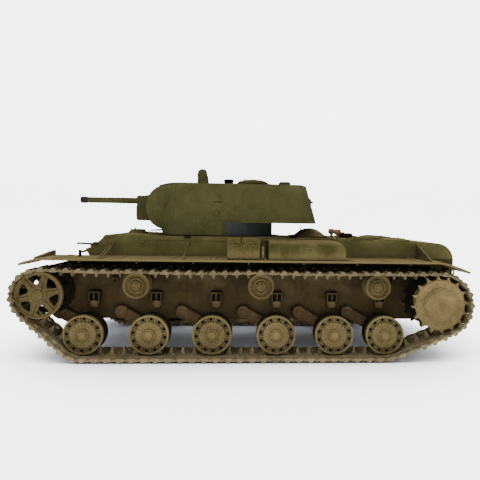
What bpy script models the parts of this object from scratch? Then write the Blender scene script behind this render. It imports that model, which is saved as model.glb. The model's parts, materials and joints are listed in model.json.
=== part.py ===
"""Radio-controlled heavy tank, 1/16 scale, as separate parts on one frame.

Metres, +Z up. The ground is Z = 0 under the tracks, the nose points to -X,
the left side is -Y, and the origin is the centre of the footprint.
Lengths below are in millimetres and are multiplied by MM when used.
"""

import math

import bmesh
import bpy
from mathutils import Matrix, Vector

MM = 0.001
GAP = 0.3                      # clearance between neighbouring parts

# Running gear
TRACK_Y = 81.9                 # centreline of each track
TRACK_HALF_W = 21.6
BELT_T = 3.2                   # track belt thickness
WHEEL_R = 18.1
WHEEL_Z = 22.3
WHEEL_X = (-149.0, -90.1, -32.7, 26.5, 81.0, 129.1)
WHEEL_HALF_W = 9.2
ARM_DX, ARM_DZ = -31.0, 16.6   # pivot of a swing arm from its wheel centre
ROLLER_X = (-102.3, 12.0, 122.2)
ROLLER_Z = 67.5
ROLLER_R = 12.2
SPROCKET_X, SPROCKET_Z = 179.5, 52.5
SPROCKET_TEETH = 16
SPROCKET_TIP_R, SPROCKET_ROOT_R = 28.0, 23.9
SPROCKET_OUT_R = 31.5          # outside of the track around the sprocket
IDLER_X, IDLER_Z = -185.7, 59.4
IDLER_R = 21.2
IDLER_OUT_R = 25.3             # outside of the track around the idler
WHEEL_OUT_R = WHEEL_Z
DISC_OFF = 14.5                # tooth rings and idler discs from the centreline
SHAFT_R, SHAFT_BORE_R = 3.0, 3.4   # idler and roller shafts, and their holes in the hull

# Hull
HULL_HALF_W = 58.0
WALL = 3.0
BELLY_Z = 31.6
SPLIT_Z = 91.8                 # joint between the tub and the superstructure
DECK_Z = 112.0
REAR_DECK_Z = 110.4
FENDER_TOP_Z = 92.6
FENDER_T = 1.9
FENDER_HALF_W = 103.75

# Turret
TURRET_X = -27.0               # traverse axis
RING_R = 52.5
TURRET_LOW_Z = 113.0
BUSTLE_Z = 126.0
ROOF_Z = 165.9
TRUNNION_X, TRUNNION_Z = -82.5, 140.8
MANTLET_R = 24.0
MANTLET_HALF_W = 29.0
GUN_Z = 147.9
HATCH_X, HATCH_R = 3.5, 17.3
RING_TEETH, PINION_TEETH = 48, 8
RING_PITCH_R, PINION_PITCH_R = 42.0, 7.0

for old in list(bpy.data.objects):
    bpy.data.objects.remove(old, do_unlink=True)

scene = bpy.context.scene
parts = bpy.data.collections.new("rc_tank")
tools = bpy.data.collections.new("cutters")
scene.collection.children.link(parts)
scene.collection.children.link(tools)


# ---------------------------------------------------------------- helpers
def v(x, y, z):
    return Vector((x * MM, y * MM, z * MM))


def material(name, rgb, rough, metal=0.0):
    mat = bpy.data.materials.get(name) or bpy.data.materials.new(name)
    mat.use_nodes = True
    bsdf = mat.node_tree.nodes["Principled BSDF"]
    bsdf.inputs["Base Color"].default_value = (*rgb, 1.0)
    bsdf.inputs["Roughness"].default_value = rough
    bsdf.inputs["Metallic"].default_value = metal
    return mat


OLIVE = (0.105, 0.1, 0.04)
DUST = (0.3, 0.23, 0.11)
MUD = (0.09, 0.06, 0.03)
STEEL = (0.16, 0.13, 0.1)
RUST = (0.2, 0.08, 0.03)
BLACK = (0.02, 0.02, 0.02)


def add(name, mesh, collection=parts):
    obj = bpy.data.objects.new(name, mesh)
    collection.objects.link(obj)
    if collection is tools:
        obj.hide_render = True
        obj.display_type = "WIRE"
    return obj


def closed_mesh(name, bm):
    """Welds, faces outward and stores a bmesh."""
    bmesh.ops.remove_doubles(bm, verts=bm.verts, dist=1e-6)
    bmesh.ops.recalc_face_normals(bm, faces=bm.faces)
    mesh = bpy.data.meshes.new(name)
    bm.to_mesh(mesh)
    bm.free()
    return mesh


def evaluated_mesh(obj, name):
    """The object's mesh after its curve settings and modifiers, in world space."""
    bpy.context.view_layer.update()
    graph = bpy.context.evaluated_depsgraph_get()
    mesh = bpy.data.meshes.new_from_object(obj.evaluated_get(graph), depsgraph=graph)
    mesh.transform(obj.matrix_world)
    bm = bmesh.new()
    bm.from_mesh(mesh)
    bpy.data.meshes.remove(mesh)
    return closed_mesh(name, bm)


def outline(loops, y0, y1, plane="XZ"):
    """Flat outlines (the first outer, the rest holes) as a plate from y0 to y1.

    plane XZ runs the thickness along Y; plane XY runs it along Z.
    """
    curve = bpy.data.curves.new("outline", "CURVE")
    curve.dimensions = "2D"
    curve.fill_mode = "BOTH"
    curve.extrude = abs(y1 - y0) / 2 * MM
    for loop in loops:
        spline = curve.splines.new("POLY")
        spline.points.add(len(loop) - 1)
        for point, (a, b) in zip(spline.points, loop):
            point.co = (a * MM, b * MM, 0, 1)
        spline.use_cyclic_u = True
    obj = add("outline", curve, tools)
    middle = (y0 + y1) / 2 * MM
    if plane == "XZ":
        obj.matrix_world = Matrix.Translation((0, middle, 0)) @ Matrix.Rotation(math.pi / 2, 4, "X")
    else:
        obj.matrix_world = Matrix.Translation((0, 0, middle))
    mesh = evaluated_mesh(obj, "outline")
    bpy.data.objects.remove(obj, do_unlink=True)
    bpy.data.curves.remove(curve)
    return mesh


def turned(profile, centre, axis="Y", steps=24):
    """A profile of (radius, distance along the axis) turned into a closed solid."""
    bm = bmesh.new()
    verts = [bm.verts.new((r * MM, 0, t * MM)) for r, t in profile]
    for a, b in zip(verts, verts[1:] + ([verts[0]] if profile[0][0] > 0 else [])):
        bm.edges.new((a, b))
    mesh = bpy.data.meshes.new("turned")
    bm.to_mesh(mesh)
    bm.free()
    obj = add("turned", mesh, tools)
    screw = obj.modifiers.new("Screw", "SCREW")
    screw.steps = screw.render_steps = steps
    screw.use_merge_vertices = True
    screw.merge_threshold = 0.00001
    turn = {
        "Y": Matrix.Rotation(-math.pi / 2, 4, "X"),
        "X": Matrix.Rotation(math.pi / 2, 4, "Y"),
        "Z": Matrix.Identity(4),
    }[axis]
    obj.matrix_world = Matrix.Translation(v(*centre)) @ turn
    made = evaluated_mesh(obj, "turned")
    bpy.data.objects.remove(obj, do_unlink=True)
    return made


def rod(a, b, radius, steps=12, radius2=None):
    """A round bar or cone between two points."""
    start, end = v(*a), v(*b)
    bm = bmesh.new()
    bmesh.ops.create_cone(
        bm, cap_ends=True, segments=steps, radius1=radius * MM,
        radius2=(radius if radius2 is None else radius2) * MM, depth=(end - start).length,
    )
    turn = (end - start).to_track_quat("Z", "Y").to_matrix().to_4x4()
    bmesh.ops.transform(bm, matrix=Matrix.Translation((start + end) / 2) @ turn, verts=bm.verts)
    return closed_mesh("rod", bm)


def box(low, high):
    bm = bmesh.new()
    bmesh.ops.create_cube(bm, size=1)
    size = [(b - a) * MM for a, b in zip(low, high)]
    middle = [(a + b) / 2 * MM for a, b in zip(low, high)]
    bmesh.ops.transform(bm, matrix=Matrix.Translation(middle) @ Matrix.Diagonal((*size, 1)), verts=bm.verts)
    return closed_mesh("box", bm)


def ball(centre, radius, u=14, w=8):
    bm = bmesh.new()
    bmesh.ops.create_uvsphere(bm, u_segments=u, v_segments=w, radius=radius * MM)
    bmesh.ops.transform(bm, matrix=Matrix.Translation(v(*centre)), verts=bm.verts)
    return closed_mesh("ball", bm)


def loft(*levels):
    """The convex body through flat polygons, each (z, [(x, y), ...]) and mirrored in Y."""
    bm = bmesh.new()
    for z, half in levels:
        for x, y in half:
            for side in ((1, -1) if y else (1,)):
                bm.verts.new(v(x, y * side, z))
    bmesh.ops.convex_hull(bm, input=bm.verts)
    bmesh.ops.dissolve_limit(bm, angle_limit=math.radians(0.05), verts=bm.verts, edges=bm.edges)
    return closed_mesh("loft", bm)


def together(*meshes):
    """Separate closed shapes in one mesh, used as one tool."""
    bm = bmesh.new()
    for mesh in meshes:
        bm.from_mesh(mesh)
    mesh = bpy.data.meshes.new("together")
    bm.to_mesh(mesh)
    bm.free()
    return mesh


def mirrored(mesh):
    """The same mesh on the other side of the XZ plane."""
    bm = bmesh.new()
    bm.from_mesh(mesh)
    bmesh.ops.transform(bm, matrix=Matrix.Scale(-1, 4, (0, 1, 0)), verts=bm.verts)
    return closed_mesh(mesh.name, bm)


def solid(base, *steps):
    """base joined with or cut by each ("+" or "-", mesh) in turn."""
    obj = add("base", base, tools)
    for sign, mesh in steps:
        tool = add("tool", mesh, tools)
        mod = obj.modifiers.new("Boolean", "BOOLEAN")
        mod.operation = "UNION" if sign == "+" else "DIFFERENCE"
        mod.solver = "EXACT"
        mod.object = tool
    made = evaluated_mesh(obj, "solid")
    for item in [m.object for m in obj.modifiers] + [obj]:
        bpy.data.objects.remove(item, do_unlink=True)
    return made


def place(name, mesh, mat, at=(0, 0, 0), sharp=35):
    """Makes the part: its origin goes to the point at, its shape stays where it is."""
    if mesh.users:
        mesh = mesh.copy()
    mesh.name = name
    mesh.transform(Matrix.Translation(-v(*at)))
    mesh.materials.clear()
    mesh.materials.append(mat)
    mesh.shade_smooth()
    mesh.set_sharp_from_angle(angle=math.radians(sharp))
    obj = add(name, mesh)
    obj.location = v(*at)
    return obj


def circle(x, z, r, steps, start=0.0):
    return [
        (x + r * math.cos(start + 2 * math.pi * i / steps), z + r * math.sin(start + 2 * math.pi * i / steps))
        for i in range(steps)
    ]


def belt_path(inset, step_deg):
    """The closed track line that far inside its outer surface, from its four wheels."""
    wheels = [
        (WHEEL_X[0], WHEEL_Z, WHEEL_OUT_R), (WHEEL_X[-1], WHEEL_Z, WHEEL_OUT_R),
        (SPROCKET_X, SPROCKET_Z, SPROCKET_OUT_R), (IDLER_X, IDLER_Z, IDLER_OUT_R),
    ]
    normals = []
    for (x1, z1, r1), (x2, z2, r2) in zip(wheels, wheels[1:] + wheels[:1]):
        dx, dz = x2 - x1, z2 - z1
        dist = math.hypot(dx, dz)
        dx, dz = dx / dist, dz / dist
        along = (r1 - r2) / dist
        out = math.sqrt(1 - along * along)
        normals.append(math.atan2(dz * along - dx * out, dx * along + dz * out))
    points = []
    for i, (x, z, r) in enumerate(wheels):
        a, b = normals[i - 1], normals[i]
        while b < a:
            b += 2 * math.pi
        count = max(1, round(math.degrees(b - a) / step_deg))
        for k in range(count + 1):
            t = a + (b - a) * k / count
            points.append((x + (r - inset) * math.cos(t), z + (r - inset) * math.sin(t)))
    return points


def both(name, left, mat_rgb, rough, metal=0.0):
    """A left-hand mesh and its mirror image, as name_left and name_right."""
    right = mirrored(left)
    place(name + "_left", left, material(name + "_left", mat_rgb, rough, metal))
    place(name + "_right", right, material(name + "_right", mat_rgb, rough, metal))


# ---------------------------------------------------------------- tracks
y_in, y_out = -(TRACK_Y - TRACK_HALF_W), -(TRACK_Y + TRACK_HALF_W)
belt = outline([belt_path(0, 11), belt_path(BELT_T, 11)], y_out, y_in)
both("track", belt, STEEL, 0.75, 0.4)

# ---------------------------------------------------------------- wheels
GROOVE = 4.2
wheel = turned(
    [(3.0, 9.2), (3.0, -9.2), (WHEEL_R, -9.2), (WHEEL_R, -GROOVE), (11.4, -GROOVE),
     (11.4, GROOVE), (WHEEL_R, GROOVE), (WHEEL_R, 9.2)],
    (0, 0, 0), "Y", 18,
)
# The left return roller: twin discs on a shaft that runs inward into its bracket.
roller = turned(
    [(0, 26.0), (SHAFT_R, 26.0), (SHAFT_R, 8.6), (ROLLER_R, 8.6), (ROLLER_R, 3.9), (5.6, 3.9),
     (5.6, -3.9), (ROLLER_R, -3.9), (ROLLER_R, -8.6), (0, -8.6)][::-1],
    (0, 0, 0), "Y", 14,
)


def sprocket_disc(y):
    """A toothed ring: a root, two flank corners and a narrow tip for each tooth."""
    points = []
    for tooth in range(SPROCKET_TEETH):
        middle = math.radians(360 / SPROCKET_TEETH * (tooth + 0.5))
        for r, off in ((SPROCKET_ROOT_R, -7.2), (SPROCKET_TIP_R, -1.3), (SPROCKET_TIP_R, 1.3), (SPROCKET_ROOT_R, 7.2)):
            a = middle + math.radians(off)
            points.append((r * math.cos(a), r * math.sin(a)))
    return outline([points], y - 1.5, y + 1.5)


def idler_disc(y):
    """A rim with six three-cornered windows."""
    loops = [circle(0, 0, IDLER_R, 24)]
    for k in range(6):
        middle = math.radians(-15 + 60 * k)
        loops.append([
            (17.0 * math.cos(middle - 0.36), 17.0 * math.sin(middle - 0.36)),
            (17.8 * math.cos(middle), 17.8 * math.sin(middle)),
            (17.0 * math.cos(middle + 0.36), 17.0 * math.sin(middle + 0.36)),
            (9.0 * math.cos(middle), 9.0 * math.sin(middle)),
        ])
    return outline(loops, y - 2.2, y + 2.2)


# The left sprocket: two rings, a drum, a domed cap outside and a shaft inward.
sprocket = solid(
    turned([(0, 17.2), (13.0, 17.2), (13.0, -17.0), (11.0, -19.6), (5.0, -21.0), (0, -21.3)][::-1],
           (0, 0, 0), "Y", 20),
    ("+", sprocket_disc(-DISC_OFF)), ("+", sprocket_disc(DISC_OFF)),
    ("+", rod((0, 15, 0), (0, 43.0, 0), 3.0)),
)
# The left idler: a hub with two discs, on an axle that runs inward into the crank housing.
idler = solid(
    turned([(0, -16.7), (7.6, -16.7), (7.6, 16.7), (SHAFT_R, 16.7), (SHAFT_R, 26.0), (0, 26.0)], (0, 0, 0), "Y", 16),
    ("+", idler_disc(-DISC_OFF)), ("+", idler_disc(DISC_OFF)),
)

# The left swing arm at its pivot: pin into the hull, blade, axle into the wheel.
ax, az = -ARM_DX, -ARM_DZ
length = math.hypot(ax, az)
tilt = math.atan2(az, ax)
blade = []
for cx, cz, r, start in ((0, 0, 6.0, tilt + math.pi / 2), (ax, az, 5.2, tilt - math.pi / 2)):
    for k in range(9):
        t = start + math.pi * k / 8
        blade.append((cx + r * math.cos(t), cz + r * math.sin(t)))
ARM_Y0, ARM_Y1 = -63.6, -58.6
arm = solid(
    outline([blade], ARM_Y0, ARM_Y1),
    ("+", rod((0, -62, 0), (0, -54, 0), 2.5)),
    ("+", rod((ax, -62, az), (ax, -89.6, az), 2.6)),
)

dusty = (0.2, 0.16, 0.075)
for side, sign in (("left", -1), ("right", 1)):
    s = side[0]
    turn = Matrix.Identity(4) if sign < 0 else Matrix.Rotation(math.pi, 4, "Z")

    def put(name, mesh, x, z, rgb, y=TRACK_Y, rough=0.75, metal=0.0, flip=False):
        copy = mirrored(mesh) if flip and sign > 0 else mesh.copy()
        copy.transform(Matrix.Translation(v(x, sign * y, z)))
        place(name, copy, material(name, rgb, rough, metal), (x, sign * y, z))

    put("sprocket_" + side, sprocket, SPROCKET_X, SPROCKET_Z, DUST, flip=True)
    put("idler_" + side, idler, IDLER_X, IDLER_Z, dusty, flip=True)
    for i, x in enumerate(WHEEL_X):
        put(f"road_wheel_{s}{i + 1}", wheel, x, WHEEL_Z, dusty)
        put(f"swing_arm_{s}{i + 1}", arm, x + ARM_DX, WHEEL_Z + ARM_DZ, RUST, y=0, flip=True)
    for i, x in enumerate(ROLLER_X):
        put(f"return_roller_{s}{i + 1}", roller, x, ROLLER_Z, dusty, flip=True)

# ---------------------------------------------------------------- hull tub
tub = outline([[
    (-199, 80), (-196, 50), (-188, 36), (-178, BELLY_Z), (184, BELLY_Z), (206, 64),
    (207.8, SPLIT_Z), (-153, SPLIT_Z), (-156, 91.2),
]], -HULL_HALF_W, HULL_HALF_W)
room = outline([[
    (-192, 77), (-192, 52), (-185, 39), (-176, BELLY_Z + WALL), (181, BELLY_Z + WALL), (202, 66),
    (203.5, 95), (-150, 95), (-151, 88),
]], -HULL_HALF_W + WALL, HULL_HALF_W - WALL)
bores = [rod((x + ARM_DX, -70, WHEEL_Z + ARM_DZ), (x + ARM_DX, 70, WHEEL_Z + ARM_DZ), 2.8, 10) for x in WHEEL_X]
for x, z in [(SPROCKET_X, SPROCKET_Z), (IDLER_X, IDLER_Z)] + [(x, ROLLER_Z) for x in ROLLER_X]:
    bores.append(rod((x, -75, z), (x, 75, z), SHAFT_BORE_R, 12))
# Bosses on both sides: final drive, idler crank, roller brackets, bump stops and their cups.
bosses, cups = [], []
for sign in (-1, 1):
    w = sign * (HULL_HALF_W - 1)
    bosses.append(rod((SPROCKET_X, w, SPROCKET_Z), (SPROCKET_X, sign * 64.2, SPROCKET_Z), 17.0, 16, 14.0))
    bosses.append(rod((IDLER_X, w, IDLER_Z), (IDLER_X, sign * 64.6, IDLER_Z), 9.5, 12))
    for x in ROLLER_X:
        bosses.append(rod((x, w, ROLLER_Z), (x, sign * 64.8, ROLLER_Z), 6.5, 10))
    for x in WHEEL_X:
        low, high = sorted((w, sign * 64.8))
        bosses.append(box((x - 2.5, low, 49.0), (x + 6.0, high, 57.5)))
        cups.append(rod((x + 1.75, sign * 60.6, 43.5), (x + 1.75, sign * 60.6, 49.6), 3.9, 10))
switch_slot = box((100, -4, 25), (116, 4, 40))
COVER = (-146.0, -34.0, 23.0)  # battery opening: X from, X to, half width
tub_mesh = solid(
    tub, ("-", room), ("+", together(*bosses)), ("+", together(*cups)), ("-", together(*bores)),
    ("-", together(box((COVER[0], -COVER[2], 25), (COVER[1], COVER[2], 40)), switch_slot)),
)
place("lower_hull", tub_mesh, material("lower_hull", MUD, 0.85))

place("battery_cover", box((COVER[0] + GAP, -COVER[2] + GAP, BELLY_Z), (COVER[1] - GAP, COVER[2] - GAP, BELLY_Z + WALL)),
      material("battery_cover", MUD, 0.85))
place("battery", solid(
    box((-136, -19, 35.0), (-44, 19, 58.0)),
    ("+", box((-139, -8, 40.0), (-135, 8, 53.0))),
), material("battery", (0.02, 0.05, 0.12), 0.35))
place("power_switch", solid(
    box((100.4, -3.6, 31.0), (109.6, 3.6, 34.0)), ("+", box((103.5, -1.8, 29.6), (106.5, 1.8, 31.5))),
), material("power_switch", BLACK, 0.4), (105, 0, 32.0))
board = [box((52, -20, 37.6), (96, 20, 39.2))]
place("control_board", solid(
    board[0],
    ("+", together(box((58, -14, 39.0), (72, 0, 42.5)), box((76, -16, 39.0), (90, -6, 46.0)), box((78, 4, 39.0), (92, 16, 48.0)),
                   box((56, 6, 39.0), (70, 15, 41.5)))),
    ("+", together(*[rod((x, y, 34.9), (x, y, 38.0), 2.0, 8) for x in (55, 93) for y in (-17, 17)])),
), material("control_board", (0.02, 0.1, 0.04), 0.4))
gearbox = solid(
    box((146, -54.6, 45.5), (186.0, -20, 72)),
    ("+", rod((158, -21, 58), (158, -2.5, 58), 9.0, 16)),
    ("-", rod((SPROCKET_X, -60, SPROCKET_Z), (SPROCKET_X, -36, SPROCKET_Z), 3.4, 16)),
)
both("gearbox", gearbox, (0.3, 0.3, 0.3), 0.4, 0.3)

# ---------------------------------------------------------------- superstructure
ROUND_X, ROUND_Z, ROUND_R = 190.5, 91.0, 17.4
rear = [(ROUND_X + ROUND_R * math.sin(math.radians(t)), ROUND_Z + ROUND_R * math.cos(math.radians(t))) for t in range(4, 91, 14)]
profile = [
    (-153.0, SPLIT_Z + GAP), (-154.6, 93.0), (-157.9, 98.9), (-150.7, 100.8), (-145.4, 105.6), (-140.2, 111.6),
    (-125.0, 113.6), (-98.0, 112.2), (-92.0, DECK_Z), (30.0, DECK_Z), (44.0, REAR_DECK_Z), (132.0, 109.8),
] + rear + [(207.8, SPLIT_Z + GAP)]
hull_room = [
    (-147.5, 90.0), (-147.5, 98.5), (-136.5, 108.6), (-124.0, 110.2), (-96.0, 109.0), (30.0, 109.0), (44.0, 107.4),
    (132.0, 106.8), (190.0, 105.0), (199.0, 101.0), (204.0, 93.0), (204.0, 90.0),
]
MG_X, MG_Y, MG_Z = -149.6, -25.0, 98.7
ENGINE_X = 67.0
upper = solid(
    outline([profile], -HULL_HALF_W, HULL_HALF_W),
    ("-", outline([hull_room], -HULL_HALF_W + WALL, HULL_HALF_W - WALL)),
    ("-", rod((TURRET_X, 0, 100), (TURRET_X, 0, 120), 49.9, 32)),
    ("-", rod((ENGINE_X, 0, 100), (ENGINE_X, 0, 120), 17.0, 20)),
    ("+", rod((-120.5, 0, 111.5), (-120.5, 0, 116.0), 10.5, 16, 8.0)),
    ("+", rod((MG_X + 1, MG_Y, MG_Z), (MG_X - 4.4, MG_Y, MG_Z + 4.4), 7.6, 16)),
    ("-", together(ball((MG_X - 2.2, MG_Y, MG_Z + 2.2), 5.3), rod((MG_X + 14, MG_Y, MG_Z), (MG_X - 0.5, MG_Y, MG_Z + 1.5), 4.0, 12))),
)
place("upper_hull", upper, material("upper_hull", OLIVE, 0.7))

place("hull_mg", solid(
    ball((MG_X - 2.2, MG_Y, MG_Z + 2.2), 5.0),
    ("+", rod((MG_X - 5, MG_Y, MG_Z + 2.5), (MG_X - 27, MG_Y, MG_Z + 3.6), 1.15, 10)),
), material("hull_mg", BLACK, 0.5, 0.6), (MG_X - 2.2, MG_Y, MG_Z + 2.2))

place("engine_hatch", turned(
    [(0, 121.0), (4.5, 120.7), (9.5, 118.9), (14.0, 115.9), (17.0, 113.6), (20.6, 112.8), (21.0, 112.4), (21.0, 110.8),
     (16.5, 110.8), (16.5, 108.5), (0, 108.5)],
    (ENGINE_X, 0, 0), "Z", 18), material("engine_hatch", OLIVE, 0.7))

# ---------------------------------------------------------------- fenders and stowage
t = FENDER_T
top = [(-201.2, 87.6), (-197.5, 89.4), (-185.8, FENDER_TOP_Z), (178, FENDER_TOP_Z), (187, 90.8), (197, 87.4), (205.7, 83.9)]
under = [(205.2, 82.1), (196.4, 85.5), (186.5, 89.0), (178, FENDER_TOP_Z - t), (-185.6, FENDER_TOP_Z - t), (-196.8, 87.7), (-200.5, 85.9)]
both("fender", outline([top + under], -FENDER_HALF_W, -HULL_HALF_W - GAP), DUST, 0.8)

bin_shape = outline([[(-20, 92.9), (10.5, 92.9), (10.5, 111.0), (9.3, 112.0), (-18.8, 112.0), (-20, 111.0)]], -101.0, -61.0)
both("stowage_bin", bin_shape, DUST, 0.75)
tank_y = [(-101.0, 92.9), (-61.0, 92.9), (-61.0, 110.2), (-94.0, 110.2), (-98.5, 108.6), (-100.4, 105.5)]
tank = outline([tank_y], 0, 71.0)
# The outline lies in XZ; a quarter turn about Z brings its section into YZ.
tank.transform(Matrix.Translation(v(18.0, 0, 0)) @ Matrix.Rotation(math.pi / 2, 4, "Z") @ Matrix.Scale(-1, 4, (0, 1, 0)))
bm = bmesh.new()
bm.from_mesh(tank)
both("fuel_tank", closed_mesh("fuel_tank", bm), DUST, 0.75)

# ---------------------------------------------------------------- turret
low = [(-89.5, 37.0), (-77.0, 50.0), (64.5, 48.0), (71.4, 24.0)]
high = [(-80.5, 32.0), (-75.0, 39.6), (53.3, 38.4), (60.6, 19.0)]
foot = [(-88.0, 37.0), (-76.5, 50.5), (-30.0, 53.2), (-27.0, 53.2)]
foot_top = [(-89.5, 36.5), (-77.0, 49.6), (-30.0, 49.6), (-27.0, 49.6)]
inner_low = [(-76.0, 38.0), (-70.0, 46.0), (61.0, 44.2), (67.6, 22.0)]
inner_high = [(-76.0, 32.0), (-70.0, 36.8), (50.0, 35.6), (57.0, 17.5)]
lip = [(-93.9, 163.7), (-84.0, 166.0), (-79.5, 166.7), (-70.0, 166.7), (-70.0, 165.0), (-80.0, 165.3), (-84.0, 164.9), (-93.4, 163.2)]
cheeks = [rod((TRUNNION_X, s * (MANTLET_HALF_W + 0.3), TRUNNION_Z), (TRUNNION_X, s * 35.5, TRUNNION_Z), 23.2, 28) for s in (-1, 1)]
MGR_X, MGR_Z = 63.8, 149.6
shell = solid(
    loft((BUSTLE_Z, low), (ROOF_Z, high)),
    ("+", loft((TURRET_LOW_Z, foot), (BUSTLE_Z + 1, foot_top))),
    ("+", rod((TURRET_X, 0, TURRET_LOW_Z), (TURRET_X, 0, BUSTLE_Z + 1), RING_R, 40)),
    ("+", together(*cheeks)),
    ("+", outline([lip], -29.0, 29.0)),
    ("+", rod((-50.8, 0, 165), (-51.4, 0, 181.5), 6.9, 16, 4.4)),
    ("+", rod((-51.4, 0, 181.0), (-51.4, 0, 183.8), 4.6, 16, 2.6)),
    ("-", loft((BUSTLE_Z + 3, inner_low), (ROOF_Z - 3, inner_high))),
    ("-", rod((TURRET_X, 0, TURRET_LOW_Z - 3), (TURRET_X, 0, BUSTLE_Z + 5), 44.0, 32)),
    ("-", rod((TRUNNION_X, -MANTLET_HALF_W - 0.3, TRUNNION_Z), (TRUNNION_X, MANTLET_HALF_W + 0.3, TRUNNION_Z), 24.35, 36)),
    ("-", rod((HATCH_X, 0, 155), (HATCH_X, 0, 175), 14.5, 20)),
    ("-", together(ball((MGR_X, 0, MGR_Z), 5.8))),
    ("-", rod((55.0, 0, MGR_Z), (62.0, 0, MGR_Z), 4.2)),
)
place("turret_shell", shell, material("turret_shell", OLIVE, 0.7), (TURRET_X, 0, TURRET_LOW_Z))


def gear_outline(count, pitch_r, tip_r, root_r, phase, half=0.42):
    """Trapezoid teeth; half is each tooth's share of the pitch at the pitch circle."""
    points = []
    pitch = 2 * math.pi / count
    for k in range(count):
        middle = phase + pitch * k
        for r, share in ((root_r, -half * 0.72), (tip_r, -half * 0.26), (tip_r, half * 0.26), (root_r, half * 0.72)):
            points.append((r * math.cos(middle + share * pitch), r * math.sin(middle + share * pitch)))
    return points


ring_gap = math.pi / RING_TEETH
ring_gear = outline(
    [circle(0, 0, 49.2, 32), gear_outline(RING_TEETH, RING_PITCH_R, 41.2, 43.4, ring_gap)[::-1]], 104.0, TURRET_LOW_Z - GAP, "XY")
ring_gear.transform(Matrix.Translation(v(TURRET_X, 0, 0)))
place("turret_ring", ring_gear, material("turret_ring", BLACK, 0.5), (TURRET_X, 0, 104))

PINION_X = TURRET_X + RING_PITCH_R - PINION_PITCH_R
pinion = outline([gear_outline(PINION_TEETH, PINION_PITCH_R, 7.7, 5.4, 0.0)], 104.0, 110.0, "XY")
pinion.transform(Matrix.Translation(v(PINION_X, 0, 0)))
place("traverse_pinion", solid(pinion, ("+", rod((PINION_X, 0, 94), (PINION_X, 0, 105), 1.5, 10))),
      material("traverse_pinion", (0.6, 0.5, 0.2), 0.35, 1.0), (PINION_X, 0, 104))
place("traverse_motor", solid(
    rod((PINION_X, 0, 68), (PINION_X, 0, 102.5), 9.0, 20),
    ("+", box((PINION_X - 7, -7, 34.9), (PINION_X + 7, 7, 69))),
    ("-", rod((PINION_X, 0, 93.5), (PINION_X, 0, 110), 1.8, 12)),
), material("traverse_motor", (0.4, 0.4, 0.4), 0.35, 0.8))

# ---------------------------------------------------------------- gun
housing = [
    (-119.9, 128.6), (-118.2, 126.6), (-95.0, 126.6), (-95.0, 153.7), (-110.4, 153.7), (-113.6, 151.6), (-120.0, 142.0),
]
mantlet = solid(
    rod((TRUNNION_X, -MANTLET_HALF_W, TRUNNION_Z), (TRUNNION_X, MANTLET_HALF_W, TRUNNION_Z), MANTLET_R, 36),
    ("+", outline([housing], -12.5, 12.5)),
    ("-", rod((-125, 0, GUN_Z), (-50, 0, GUN_Z), 3.5, 16)),
    ("-", box((-75.0, -20.0, 128.0), (-55.0, 20.0, 156.0))),
)
place("mantlet", mantlet, material("mantlet", OLIVE, 0.7), (TRUNNION_X, 0, TRUNNION_Z))

barrel = turned(
    [(0, -24.0), (1.7, -24.0), (1.7, 0), (3.3, 0), (3.5, -1.0), (3.5, -5.8), (3.2, -6.6), (2.75, -6.6), (3.05, -66.0), (3.1, -104.0), (0, -104.0)],
    (-181.4, 0, GUN_Z), "X", 16)
# The axis of a turned part points along +X from its start, so the barrel runs the other way.
bm = bmesh.new()
bm.from_mesh(barrel)
bmesh.ops.transform(bm, matrix=Matrix.Translation(v(-181.4, 0, 0)) @ Matrix.Scale(-1, 4, (1, 0, 0)) @ Matrix.Translation(v(181.4, 0, 0)), verts=bm.verts)
place("gun_barrel", closed_mesh("gun_barrel", bm), material("gun_barrel", OLIVE, 0.6), (-78, 0, GUN_Z))

hatch = solid(
    turned([(0, 170.9), (6.0, 170.5), (12.0, 169.4), (16.2, 167.9), (17.3, 167.1), (17.3, 166.3), (0, 166.3)], (HATCH_X, 0, 0), "Z", 18),
    ("+", box((HATCH_X + 14.0, -4.0, 166.4), (HATCH_X + 18.6, 4.0, 168.2))),
    ("+", rod((HATCH_X + 18.6, -5.0, 167.7), (HATCH_X + 18.6, 5.0, 167.7), 1.3, 10)),
)
place("turret_hatch", hatch, material("turret_hatch", OLIVE, 0.7), (HATCH_X + 18.6, 0, 167.7))
place("rear_mg", solid(
    ball((MGR_X, 0, MGR_Z), 5.5), ("+", rod((MGR_X + 3, 0, MGR_Z), (MGR_X + 7.0, 0, MGR_Z), 1.2, 10)),
), material("rear_mg", OLIVE, 0.6), (MGR_X, 0, MGR_Z))
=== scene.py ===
"""The finished look of the radio-controlled heavy tank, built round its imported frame.

Lengths are in millimetres until they reach a mesh. The nose points to -X, the
left side is -Y, and the ground is Z = 0. A piece that exists on both sides is
made once in (x, outward, z) and laid out for each side.
"""

import json
import math

import bmesh
import bpy
from mathutils import Matrix, Vector

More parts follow.
